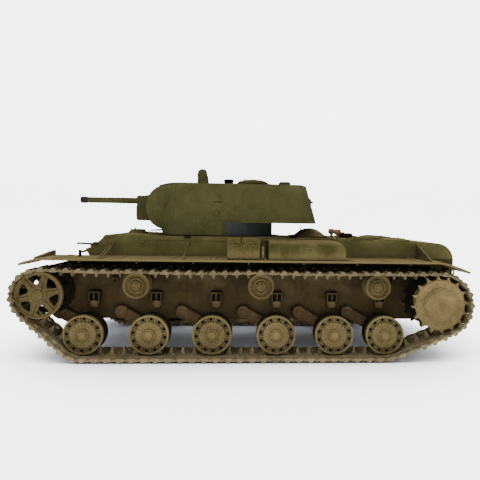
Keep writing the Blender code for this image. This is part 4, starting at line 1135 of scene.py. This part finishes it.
# edge strip, small box and clip along the forward side; the edge strip takes the dustier stowage paint as a painted
# highlight along the plate's edge
hull_side.slot = 1
hull_side.box((-141.0, 57.8, 109.8), (-130.5, 58.9, 110.9), 0.2)
hull_side.box((-150.0, 57.8, 102.6), (-146.4, 61.0, 105.5), 0.35)
hull_side.slot = 2
hull_side.box((-63.0, 57.8, 110.0), (-57.0, 60.2, 112.5), 0.4)
hull_side.slot = 0
# lifting eyes at the deck corners
for x in (-104.0, 92.0):
    hull_side.tube([(x + 2.6 * math.cos(t), 58.3 + 2.1 * math.sin(t), 106.2) for t in [math.pi * k / 12 for k in range(13)]], 0.6, steps=8)
# stay rods and their feet
for x in (-133.2, -130.8, -59.3, 15.0):
    hull_side.rod((x, 58.0, 104.6), (x, 98.5, 93.4), 0.62, steps=12)
    hull_side.box((x - 1.6, 57.6, 103.2), (x + 1.6, 59.4, 106.2), 0.3)
    hull_side.box((x - 1.5, 96.6, 92.5), (x + 1.5, 101.0, 93.7), 0.3)
    hull_side.bolt((x, 100.0, 93.6), (0, 0, 1), 0.6, 0.5)
paired("hull_upper_side", hull_side, "hull", (M["olive"], M["stowage"], M["collar"]), slot="olive_paint")

deck = Form()
# driver's hatch ring with its bolts, hinge and handle
deck.lathe([(0, 117.4), (7.6, 117.1), (8.2, 116.7), (8.2, 115.0), (0, 115.0)], (-120.5, 0, 0), "Z", 44)
for k in range(10):
    deck.bolt((-120.5 + 9.6 * math.cos(TAU * k / 10), 9.6 * math.sin(TAU * k / 10), 113.7), (0, 0, 1), 0.7, 0.8)
deck.tube([(-123.4, -2.2, 117.0), (-123.4, -2.2, 118.6), (-123.4, 2.2, 118.6), (-123.4, 2.2, 117.0)], 0.45, steps=8)
deck.box((-113.2, -4.0, 112.4), (-110.6, 4.0, 115.0), 0.3)
# driver's port on the sloping front plate
port = tilted((-146.0, 0, 105.3), -45.8)
deck.box((-5.2, -9.0, -0.6), (5.2, 9.0, 1.4), 0.5, matrix=port)
deck.box((-1.1, -6.0, 1.2), (1.1, 6.0, 1.9), 0.3, matrix=port)
for y in (-7.6, 7.6):
    for u in (-3.8, 3.8):
        deck.bolt(port @ Vector((u, y, 1.3)), port.to_3x3() @ Vector((0, 0, 1)), 0.65, 0.55)
# front plate edge welds and bolts round the ball mount
deck.weld([(-153.4, -57.2, 99.4), (-153.4, 57.2, 99.4)], 0.5)
deck.weld([(-140.0, -57.2, 111.8), (-140.0, 57.2, 111.8)], 0.45)
side_v, up_v = Vector((0, 1, 0)), Vector((0.632, 0, 0.775))
for k in (0, 1, 2, 3, 4, 7):
    w = TAU * k / 8 + 0.39
    deck.bolt(Vector((-154.0, -25.0, 103.1)) + side_v * (6.1 * math.cos(w)) + up_v * (6.1 * math.sin(w)), (-0.775, 0, 0.632), 0.6, 0.45)
# bolts round the turret and a deck seam; all stay under the turret's foot
for k in range(40):
    w = TAU * (k + 0.5) / 40
    x, y = -27.0 + 76.0 * math.cos(w), 76.0 * math.sin(w)
    if abs(y) < 54 and x > -92:
        deck.rivet((x, y, 111.9 if x < 30 else 111.2 if x < 44 else 110.3), (0, 0, 1), 0.6, 0.4)
deck.box((30.6, -55.0, 111.0), (31.6, 55.0, 112.2), 0.2)
# frame round the domed hatch
for k in range(24):
    w = TAU * (k + 0.5) / 24
    deck.bolt((ENGINE_X + 22.8 * math.cos(w), 22.8 * math.sin(w), 110.1), (0, 0, 1), 0.7, 0.6)
# round hatches over the transmission and the fan
for cx, cy, r, z0, h in ((135.5, 0.0, 15.0, 109.6, 4.9), (153.0, 33.0, 17.0, 108.4, 4.6), (153.0, -33.0, 17.0, 108.4, 4.6)):
    deck.lathe([(0, z0 + h), (r * 0.35, z0 + h - 0.25), (r * 0.7, z0 + h - 1.2), (r * 0.9, z0 + h - 2.4), (r, z0 + 1.9), (r, z0 - 0.6), (0, z0 - 0.6)], (cx, cy, 0), "Z", 60)
    for k in range(14):
        w = TAU * k / 14
        deck.bolt((cx + r * 0.88 * math.cos(w), cy + r * 0.88 * math.sin(w), z0 + h - 2.3), (0, 0, 1), 0.6, 0.5)
# air intakes beside them: slatted frames
for s in (-1, 1):
    deck.box((105.0, s * 20.0, 109.4), (128.0, s * 49.0, 111.4), 0.4)
    for k in range(9):
        deck.box((107.0 + 2.3 * k, s * 22.0, 111.2), (108.1 + 2.3 * k, s * 47.0, 112.2), 0.2)
# handles
for x, y in ((67.0, 30.0), (67.0, -30.0), (153.0, 10.0), (153.0, -10.0)):
    deck.tube([(x - 3.5, y, 109.4), (x - 3.5, y, 112.6), (x + 3.5, y, 112.6), (x + 3.5, y, 109.4)], 0.5, steps=8)
# cable lying along each edge of the rear deck, with its eye and clamps
for s in (-1, 1):
    deck.tube([(48.0 + 58.0 * k / 40, s * (52.6 + 1.2 * math.sin(9 * k / 40)), 110.9 - 0.6 * k / 40) for k in range(41)], 0.95, steps=8)
    deck.tube([(108.6 + 3.0 * math.cos(TAU * k / 16), s * 52.6 + 2.1 * math.sin(TAU * k / 16), 110.9) for k in range(16)], 0.75, steps=8, closed=True)
    for x in (60.0, 84.0):
        deck.box((x - 1.0, s * 50.4, 109.6), (x + 1.0, s * 55.2, 112.2), 0.3)
piece("deck_detail", deck.mesh("deck_detail"), "hull", M["olive"], slot="olive_paint")

# rounded tail: slatted air outlet and its bolts
tail = Form()
for k in range(7):
    w = math.radians(22 + 9 * k)
    x, z = 190.5 + 17.5 * math.sin(w), 91.0 + 17.5 * math.cos(w)
    tail.box((-0.55, -44.0, -0.5), (0.55, 44.0, 0.45), 0.2, matrix=Matrix.Translation((x, 0, z)) @ Matrix.Rotation(w, 4, "Y"))
for s in (-1, 1):
    for k in range(8):
        w = math.radians(18 + 9 * k)
        tail.bolt((190.5 + 17.3 * math.sin(w), s * 50.0, 91.0 + 17.3 * math.cos(w)), (math.sin(w), 0, math.cos(w)), 0.7, 0.5)
piece("tail_grille", tail.mesh("tail_grille"), "hull", M["olive"], slot="olive_paint")

# exhaust stubs, one each side of the domed hatch
for word, s in SIDES:
    pipe = Form()
    pipe.rod((95.6, s * 20.0, 109.4), (95.6, s * 20.0, 117.0), 1.6, steps=20)
    pipe.rod((92.2, s * 20.0, 117.3), (98.7, s * 20.0, 117.3), 3.0, steps=28, c=0.5)
    pipe.slot = 1
    pipe.rod((106.6, s * 20.0, 109.4), (106.6, s * 20.0, 114.0), 1.8, steps=20)
    pipe.rod((104.0, s * 20.0, 114.1), (111.2, s * 20.0, 113.6), 2.7, steps=28, c=0.5)
    pipe.rod((98.5, s * 20.0, 117.3), (98.8, s * 20.0, 117.3), 1.7, steps=24)
    piece("exhaust_" + word, pipe.mesh("exhaust_" + word), "hull", (M["rust_pipe"], M["dark_pipe"]), slot="rusty_metal")

# domed engine hatch: rim bolts and a lifting handle
lid = Form()
lid.lathe([(0, 121.0), (2.2, 120.95), (4.5, 120.6), (7.0, 119.8), (9.5, 118.8), (12.0, 117.3), (14.0, 115.9), (15.6, 114.6), (17.0, 113.6), (19.0, 113.0),
           (20.6, 112.8), (21.0, 112.4), (21.0, 110.8), (16.5, 110.8), (16.5, 108.5), (0, 108.5)], (ENGINE_X, 0, 0), "Z", 72)
for k in range(16):
    w = TAU * k / 16
    lid.bolt((ENGINE_X + 19.0 * math.cos(w), 19.0 * math.sin(w), 112.9), (0, 0, 1), 0.65, 0.45)
lid.tube([(ENGINE_X - 9.0, -6.0, 117.4), (ENGINE_X - 9.4, -6.0, 120.2), (ENGINE_X - 9.4, 6.0, 120.2), (ENGINE_X - 9.0, 6.0, 117.4)], 0.5, steps=8)
piece("engine_lid", lid.mesh("engine_lid", sharp=30), "engine_hatch" if "engine_hatch" in frame["bodies"] else "hull", M["olive"], slot="olive_paint",
      stands_for=["engine_hatch"])

# ---------------------------------------------------------------- fenders
for word, s in SIDES:
    soften("fender_" + word, M["dusty"], 0.25)
wing = Form()
# rolled outer edge, a bead in each panel, joint straps and rivets
wing.rod((-185.0, 103.1, 92.0), (178.0, 103.1, 92.0), 0.62, steps=12)
wing.rod((-185.0, 103.1, 92.0), (-200.4, 103.1, 87.6), 0.6, steps=12)
wing.rod((178.0, 103.1, 92.0), (205.0, 103.1, 83.6), 0.6, steps=12)
for x in (-170, -118, -70, -32, 96, 128, 160):
    wing.box((x - 2.2, 59.0, 92.3), (x + 2.2, 102.4, 93.1), 0.25)
    for k in range(8):
        for e in (-1.3, 1.3):
            wing.rivet((x + e, 62.0 + 5.5 * k, 93.05), (0, 0, 1), 0.45, 0.3)
for a, b in ((-165, -123), (-113, -75), (-65, -37), (101, 123), (133, 155)):
    for y in (70.0, 94.0):
        wing.rod((a, y, 92.2), (b, y, 92.2), 0.85, steps=12, c=0.3)
wing.rod((-186.0, 60.0, 92.4), (-186.0, 102.0, 92.4), 0.8, steps=12)
wing.rod((178.4, 60.0, 92.3), (178.4, 102.0, 92.3), 0.8, steps=12)
# triangular gussets between the fender and the hull
wing.hull([(x, y, z) for x in (-188.6, -185.2) for y, z in ((58.4, 92.0), (101.5, 92.0), (101.5, 93.4), (58.4, 97.0))])
wing.hull([(x, y, z) for x in (169.2, 170.2) for y, z in ((58.2, 92.4), (101.5, 92.4), (101.5, 93.4), (58.2, 107.2))])
for y in (66.0, 78.0, 90.0):
    wing.bolt((169.2, y, 92.6 + (101.5 - y) * 0.17), (-1, 0, 0), 0.6, 0.4)
# horn post at the front and the two posts between bin and tank
wing.slot = 1
wing.rod((-156.4, 78.0, 92.4), (-156.4, 78.0, 98.8), 1.35, 1.25, steps=18, c=0.3)
wing.slot = 2
wing.rod((13.4, 64.0, 92.5), (13.4, 64.0, 101.0), 1.4, steps=16, c=0.3)
wing.rod((12.6, 97.0, 92.5), (12.6, 97.0, 105.0), 1.2, steps=16, c=0.3)
paired("fender_detail", wing, "hull", (M["dusty"], M["collar"], M["arm"]), slot="dusty_paint")

# ---------------------------------------------------------------- stowage bins
chest = Form()
chest.box((-19.6, 61.4, 92.9), (10.1, 100.4, 107.9), 0.4)
for x0, x1 in ((-19.9, -7.3), (-6.5, 10.4)):
    chest.box((x0, 61.1, 107.9), (x1, 100.9, 110.8), 0.5)
    chest.box((x0 + 0.8, 62.0, 110.4), (x1 - 0.8, 100.0, 111.5), 0.4)
    chest.rod((x0 + 0.4, 100.3, 111.1), (x1 - 0.4, 100.3, 111.1), 0.6, steps=12)
    # framed outer panel with a clasp and hinges
    for lo, hi in (((x0 + 1.2, 100.2, 94.4), (x0 + 2.2, 100.95, 106.6)), ((x1 - 2.2, 100.2, 94.4), (x1 - 1.2, 100.95, 106.6)),
                   ((x0 + 1.2, 100.2, 105.6), (x1 - 1.2, 100.95, 106.6)), ((x0 + 1.2, 100.2, 94.4), (x1 - 1.2, 100.95, 95.4))):
        chest.box(lo, hi, 0.2)
    m = (x0 + x1) / 2
    chest.box((m - 1.5, 100.2, 95.8), (m + 1.5, 100.98, 98.4), 0.25)
    chest.rod((m - 1.2, 100.4, 99.4), (m + 1.2, 100.4, 99.4), 0.45, steps=10)
    for x in (x0 + 3.0, x1 - 3.0):
        chest.rod((x - 1.3, 61.7, 108.0), (x + 1.3, 61.7, 108.0), 0.6, steps=10)
        chest.rivet((x, 100.8, 109.4), (0, 1, 0), 0.45, 0.15)
body_of = lambda name: name if name in frame["bodies"] else "hull"
for word, sign in SIDES:
    piece("stowage_chest_" + word, chest.mesh("stowage_chest_" + word, side=sign), body_of("stowage_bin_" + word), M["stowage"],
          slot="dusty_paint", stands_for=["stowage_bin_" + word])

# ---------------------------------------------------------------- fuel tanks
tank_form = Form()
section = [(61.2, 93.0), (100.8, 93.0), (100.3, 105.4), (99.6, 107.3), (98.3, 108.6), (96.3, 109.6), (94.0, 110.0), (61.2, 110.0)]
# the rear upper corner is rounded off
tank_form.hull([(x, y, min(z, top)) for x, top in ((18.3, 120.0), (80.0, 120.0), (83.4, 109.5), (86.2, 107.6), (88.0, 104.8), (88.8, 101.2))
                for y, z in section])
rim = [(61.0, 92.95), (100.98, 92.95), (100.4, 105.6), (98.5, 108.7), (94.1, 110.2), (61.0, 110.2)]
for x0, x1 in ((18.0, 19.2), (26.5, 27.4)):
    tank_form.prism(rim, x0, x1, "YZ", 0.25)
tank_form.tube([(50.6, 99.9, 100.2), (50.6, 100.6, 103.8), (58.1, 100.6, 103.8), (58.1, 99.9, 100.2)], 0.4, steps=8)
tank_form.box((49.6, 99.6, 99.2), (51.6, 100.95, 101.0), 0.2)
tank_form.box((57.1, 99.6, 99.2), (59.1, 100.95, 101.0), 0.2)
tank_form.lathe([(0, 110.15), (2.6, 110.15), (2.6, 109.6), (0, 109.6)], (38.0, 78.0, 0), "Z", 28)
for k in range(10):
    tank_form.rivet((18.2, 64.0 + 3.6 * k, 93.8), (-1, 0, 0), 0.4, 0.2)
tank_form.hull([(x, y, z) for y in (99.0, 100.9) for x, z in ((86.5, 92.9), (91.8, 92.9), (88.2, 96.4))])
for word, sign in SIDES:
    piece("side_tank_" + word, tank_form.mesh("side_tank_" + word, side=sign), body_of("fuel_tank_" + word), M["stowage"],
          slot="dusty_paint", stands_for=["fuel_tank_" + word])


# ---------------------------------------------------------------- turret
soften("turret_shell", M["turret"], 0.5)


def flank(x, z):
    """How far out the turret's side plate lies at this point."""
    s = (z - BUSTLE_Z) / (ROOF_Z - BUSTLE_Z)
    xa, ya, xb, yb = -77.0 + 2.0 * s, 50.0 - 10.4 * s, 64.5 - 11.2 * s, 48.0 - 9.6 * s
    return ya + (yb - ya) * (x - xa) / (xb - xa)


OUT = (0.014, 0.968, 0.25)
wall = Form()
# welded corners and roof edge
wall.weld([(-77.0, 50.0, 126.4), (-75.0, 39.8, 165.5)], 0.5)
wall.weld([(64.3, 48.0, 126.4), (53.2, 38.5, 165.5)], 0.5)
wall.weld([(-74.5, 39.5, 165.7), (53.0, 38.3, 165.7)], 0.42)
# pistol port plug and its surround
px, pz = -32.9, 135.4
turn = Matrix.Translation((px, flank(px, pz), pz)) @ Vector(OUT).to_track_quat("Z", "Y").to_matrix().to_4x4()
wall.lathe([(0, -0.5), (3.6, -0.5), (3.6, 0.4), (3.2, 0.7), (2.9, 0.7), (2.7, 0.35), (2.3, 0.35), (2.1, 1.1), (1.6, 1.5), (0, 1.6)], axis="Z", steps=36, matrix=turn)
# vision slit block
sx, sz = -32.2, 146.4
lean = Matrix(((1, 0, 0, 0), (0, 0.968, -0.25, 0), (0, 0.25, 0.968, 0), (0, 0, 0, 1)))
turn = Matrix.Translation((sx, flank(sx, sz), sz)) @ lean
wall.box((-4.4, -0.4, -1.3), (4.4, 0.35, 1.3), 0.25, matrix=turn)
# painted shade: a near-black bar set into the block where the slit opens
wall.slot = 1
wall.box((-3.6, -0.3, -0.5), (3.6, 0.45, 0.5), 0.1, matrix=turn)
wall.slot = 0
# two bolts on the collar
for z in (118.0, 122.6):
    wall.bolt((-24.0, 52.2, z), (0, 1, 0), 0.9, 0.6)
# dark joint round the curved cheek, and the seam where the side plate begins
wall.slot = 2
wall.tube([(TRUNNION_X + 23.25 * math.cos(math.radians(a)), 35.0, TRUNNION_Z + 23.25 * math.sin(math.radians(a))) for a in range(112, 246, 4)], 0.35, steps=8)
wall.tube([(TRUNNION_X + 23.6 * math.cos(math.radians(a)), 29.3, TRUNNION_Z + 23.6 * math.sin(math.radians(a))) for a in range(116, 240, 4)], 0.5, steps=8)
wall.slot = 0
# thin guard in front of the turret foot
wall.box((-104.0, 6.0, 116.0), (-88.0, 22.0, 117.0), 0.25)
paired("turret_side_detail", wall, "turret", (M["turret"], M["shade"], M["shade"]), slot="olive_paint")

roof = Form()
# hatch coaming and the two hinge lugs
roof.lathe([(14.6, 165.4), (18.4, 165.4), (18.4, 165.95), (18.0, 166.2), (14.6, 166.2)], (HATCH_X, 0, 0), "Z", 60)
for s in (-1, 1):
    roof.box((20.4, s * 5.3, 165.5), (23.8, s * 7.3, 168.9), 0.5)
    roof.bolt((22.1, s * 7.2, 167.7), (0, s, 0), 0.8, 0.4)
# low roof cap, sight cover box and roof bolts
roof.slot = 2
roof.lathe([(0, 173.2), (4.6, 173.1), (5.4, 172.5), (5.5, 170.9), (4.9, 170.2), (4.9, 165.4), (0, 165.4)], (-22.8, 0, 0), "Z", 44)
roof.slot = 0
for k in range(8):
    w = TAU * k / 8
    roof.bolt((-22.8 + 6.6 * math.cos(w), 6.6 * math.sin(w), 165.8), (0, 0, 1), 0.55, 0.45)
roof.box((31.3, -25.0, 165.4), (43.2, -14.0, 169.6), 0.6)
roof.box((32.4, -23.8, 169.4), (42.1, -15.2, 170.1), 0.3)
roof.box((31.3, 14.0, 165.4), (43.2, 25.0, 169.6), 0.6)
for k in range(18):
    for s in (-1, 1):
        roof.rivet((-68.0 + 6.7 * k, s * (36.2 - 0.012 * k), 165.85), (0, 0, 1), 0.55, 0.4)
for k in range(9):
    roof.rivet((54.0, -14.0 + 3.5 * k, 165.85), (0, 0, 1), 0.55, 0.4)
# ventilator dome and second sight
roof.lathe([(0, 169.2), (2.6, 169.0), (4.6, 168.0), (5.2, 166.6), (5.2, 165.4), (0, 165.4)], (-48.0, 22.0, 0), "Z", 40)
roof.lathe([(0, 169.2), (2.6, 169.0), (4.6, 168.0), (5.2, 166.6), (5.2, 165.4), (0, 165.4)], (-48.0, -22.0, 0), "Z", 40)
# periscope hood: cast cowl, collar, bolts and window
roof.prism([(-57.0, 165.6), (-56.4, 181.3), (-54.2, 183.3), (-49.0, 182.2), (-45.8, 176.5), (-44.3, 165.6)], -4.2, 4.2, "XZ", 1.2)
roof.lathe([(7.0, 165.4), (8.8, 165.4), (8.8, 166.6), (8.2, 167.0), (6.9, 167.2)], (-50.9, 0, 0), "Z", 44)
for k in range(8):
    w = TAU * k / 8 + 0.3
    roof.bolt((-50.9 + 8.0 * math.cos(w), 8.0 * math.sin(w), 166.7), (0, 0, 1), 0.5, 0.4)
roof.slot = 1
roof.box((-57.2, -2.4, 174.8), (-56.2, 2.4, 179.0), 0.3)
roof.slot = 0
# rear plate: bolts round the ball mount
for k in range(8):
    w = TAU * k / 8
    roof.bolt((66.3 - 0.27 * 8.4 * math.sin(w), 8.4 * math.cos(w), 149.6 + 8.4 * math.sin(w)), (0.96, 0, 0.27), 0.65, 0.5)
roof.weld([(-92.8, -28.6, 163.6), (-92.8, 28.6, 163.6)], 0.35)
piece("turret_roof_detail", roof.mesh("turret_roof_detail"), "turret", (M["turret"], M["shade"], M["shade"]), slot="olive_paint")

finish_node("turret_ring", M["ring"])

# ---------------------------------------------------------------- hatch
cover = Form()
cover.lathe([(0, 173.4), (5.0, 173.3), (9.0, 172.9), (12.6, 172.1), (15.2, 171.1), (16.9, 170.1), (17.3, 169.4), (17.3, 168.6), (16.4, 168.0), (16.0, 166.3),
             (0, 166.3)], (HATCH_X, 0, 0), "Z", 72)
cover.box((HATCH_X + 13.6, -4.0, 166.5), (22.1, 4.0, 168.2), 0.4)
cover.rod((22.1, -5.0, 167.7), (22.1, 5.0, 167.7), 1.25, steps=20, c=0.2)
cover.lathe([(0, 174.0), (1.5, 173.9), (2.1, 173.5), (2.1, 172.6), (0, 172.6)], (HATCH_X, 0, 0), "Z", 24)
for k in range(10):
    w = TAU * (k + 0.5) / 10
    cover.rivet((HATCH_X + 14.2 * math.cos(w), 14.2 * math.sin(w), 171.4), (0.35 * math.cos(w), 0.2 * math.sin(w), 1), 0.6, 0.4)
cover.tube([(HATCH_X - 9.0, -3.4, 172.4), (HATCH_X - 9.4, -3.4, 174.3), (HATCH_X - 9.4, 3.4, 174.3), (HATCH_X - 9.0, 3.4, 172.4)], 0.5, steps=8)
piece("roof_hatch", cover.mesh("roof_hatch", sharp=30), "turret_hatch", M["turret"], slot="olive_paint", stands_for=["turret_hatch"])

# ---------------------------------------------------------------- gun
soften("mantlet", M["turret"], 0.45)
mask = Form()
for y in (-9.4, 9.4):
    for z in (131.0, 136.6, 146.6, 151.0):
        x = -118.4 if z < 142 else -117.4 + (z - 142) * 0.66
        mask.bolt((x, y, z), (-0.96, 0, 0.2), 0.8, 0.6)
mask.lathe([(3.6, -121.4), (5.4, -121.4), (5.8, -120.8), (5.8, -112.0), (3.6, -112.0)], (0, 0, GUN_Z), "X", 40)
for s in (-1, 1):
    for k in range(8):
        z = 129.4 + 3.1 * k
        mask.rivet((-104.0, s * 12.5, z), (0, s, 0), 0.6, 0.4)
    mask.weld([(TRUNNION_X - 24.0 * math.cos(t), s * 12.9, TRUNNION_Z + 24.0 * math.sin(t)) for t in [math.radians(-30 + 6 * k) for k in range(11)]], 0.4)
mask.rod((-118.0, 7.4, 138.2), (-121.0, 7.4, 138.2), 1.8, steps=20, c=0.3)
mask.rod((-118.0, -7.4, 138.2), (-120.4, -7.4, 138.2), 1.3, steps=20, c=0.3)
piece("mantlet_detail", mask.mesh("mantlet_detail"), "mantlet", M["turret"], slot="olive_paint")

tube = Form()
L = -181.4
tube.lathe([(1.7, L + 24.0), (1.7, L + 0.3), (1.95, L), (3.1, L), (3.35, L + 0.25), (3.5, L + 1.0), (3.5, L + 5.8), (3.35, L + 6.4), (3.2, L + 6.9), (3.05, L + 7.1),
            (3.1, L + 30.0), (3.2, L + 50.0), (3.3, L + 66.0), (3.3, L + 104.0), (0, L + 104.0), (0, L + 24.0)], (0, 0, GUN_Z), "X", 48)
for i, face in enumerate(tube.f):
    if all(tube.v[j][0] < L + 7.0 for j in face):
        tube.m[i] = 1
piece("gun_tube", tube.mesh("gun_tube", sharp=30), "gun_barrel", (M["turret"], M["muzzle"]), slot="olive_paint", stands_for=["gun_barrel"])

# ---------------------------------------------------------------- machine guns
mg = Form()
mg.ball(MG, 4.95, 40, 20)
a, b = Vector((-154.6, -25.0, 101.2)), Vector((-176.6, -25.0, 102.3))
mg.rod(a, b, 1.0, steps=24, c=0.2)
mg.rod(a.lerp(b, 0.3), a.lerp(b, 0.5), 1.12, steps=24, c=0.2)
mg.rod(a.lerp(b, 0.93), b, 1.15, steps=24, c=0.2)
piece("bow_gun", mg.mesh("bow_gun", sharp=30), "hull_mg", M["gunmetal"], slot="gun_metal", stands_for=["hull_mg"])
mg = Form()
mg.ball(REAR_MG, 5.5, 40, 20)
mg.rod((67.5, 0, 149.6), (70.8, 0, 149.6), 1.2, steps=24, c=0.25)
piece("rear_gun", mg.mesh("rear_gun", sharp=30), "rear_mg", M["gunmetal"], slot="gun_metal", stands_for=["rear_mg"])

# ---------------------------------------------------------------- inside the hull
for word, s in SIDES:
    soften("gearbox_" + word, M["motor"], 0.4)
soften("battery", M["battery"], 0.8)
soften("control_board", M["board"], 0.15, 1)
soften("traverse_motor", M["motor"], 0.3)
finish_node("traverse_pinion", M["brass"])
soften("power_switch", M["black"], 0.3)


# ---------------------------------------------------------------- floor, light, camera
def area(name, at, aim, size, power, colour=(1, 1, 1)):
    data = bpy.data.lights.new(name, "AREA")
    data.shape, data.size, data.size_y = "RECTANGLE", size[0], size[1]
    data.energy, data.color = power, colour
    obj = bpy.data.objects.new(name, data)
    bpy.context.scene.collection.objects.link(obj)
    obj.location = at
    obj.rotation_euler = (Vector(aim) - Vector(at)).to_track_quat("-Z", "Y").to_euler()
    return obj


def paper(name, glow, shaded=False):
    """White studio paper that gives off a little light of its own."""
    n = Nodes(name)
    mat = n.finish(n.mix(n.step(n.noise(3.0, 3.0), 0.3, 0.7), (0.88, 0.885, 0.9), (0.91, 0.91, 0.915)), 0.8, specular=0.1)
    n.bsdf.inputs["Emission Color"].default_value = (1.0, 1.0, 1.0, 1)
    if shaded:
        # the glow fades where something stands close above the paper, leaving a soft blue-grey shadow
        clear = n.step(n.crevice(0.16, 16), 0.25, 0.9)
        n.link(n.math("MULTIPLY", clear, glow), n.bsdf.inputs["Emission Strength"])
        n.link(n.mix(clear, (0.5, 0.52, 0.58), (0.9, 0.9, 0.91)), n.bsdf.inputs["Base Color"])
    else:
        n.bsdf.inputs["Emission Strength"].default_value = glow
    return mat


def sheet(name, points, half_width, mat):
    """A sheet of paper following (y, z) points, wide along X."""
    mesh = bpy.data.meshes.new(name)
    mesh.from_pydata([(s * half_width, y, z) for y, z in points for s in (-1, 1)], [],
                     [(2 * i, 2 * i + 1, 2 * i + 3, 2 * i + 2) for i in range(len(points) - 1)])
    mesh.shade_smooth()
    mesh.materials.append(mat)
    obj = bpy.data.objects.new(name, mesh)
    bpy.context.scene.collection.objects.link(obj)
    return obj


sheet("floor", [(-6.0, -0.0004), (2.2, -0.0004)], 7.0, paper("floor_paper", 2.9, shaded=True))
sheet("backdrop", [(2.2 + 0.8 * math.sin(math.radians(a)), 0.8 - 0.8 * math.cos(math.radians(a)) - 0.0004) for a in range(0, 91, 6)] + [(3.0, 5.0)], 7.0,
      paper("backdrop_paper", 3.25))

area("key", (-0.35, -0.75, 1.25), (0, 0, 0.06), (1.1, 0.9), 11.0, (1.0, 0.985, 0.95))
area("fill_left", (-1.3, -0.6, 0.55), (0, 0, 0.06), (0.9, 0.9), 2.5, (0.95, 0.98, 1.0))
area("fill_right", (1.2, -0.9, 0.6), (0, 0, 0.06), (0.9, 0.9), 3.0, (1.0, 0.98, 0.95))
area("back", (0.2, 1.2, 0.9), (0, 0, 0.1), (1.4, 0.8), 5.0)
area("top", (0.1, 0.1, 1.4), (0, 0, 0), (1.2, 1.2), 6.0)
world = bpy.data.worlds.new("studio")
world.use_nodes = True
world.node_tree.nodes["Background"].inputs["Color"].default_value = (0.93, 0.96, 1.0, 1)
world.node_tree.nodes["Background"].inputs["Strength"].default_value = 0.8
bpy.context.scene.world = world

camera = bpy.data.cameras.new("camera")
camera.sensor_width = 36.0
camera.lens = 499.75 / 480 * 36.0
camera.shift_x = -(280.84 - 240) / 480
camera.shift_y = (220.16 - 240) / 480
eye = bpy.data.objects.new("camera", camera)
bpy.context.scene.collection.objects.link(eye)
eye.matrix_world = (Matrix.Translation((-0.00254, -0.55375, 0.12926)) @ Matrix.Rotation(math.radians(-3.9105), 4, "Z")
                    @ Matrix.Rotation(math.radians(90), 4, "X") @ Matrix.Rotation(math.radians(0.9287), 4, "Z"))
camera.clip_start, camera.clip_end = 0.02, 30.0
bpy.context.scene.camera = eye

bpy.context.view_layer.update()
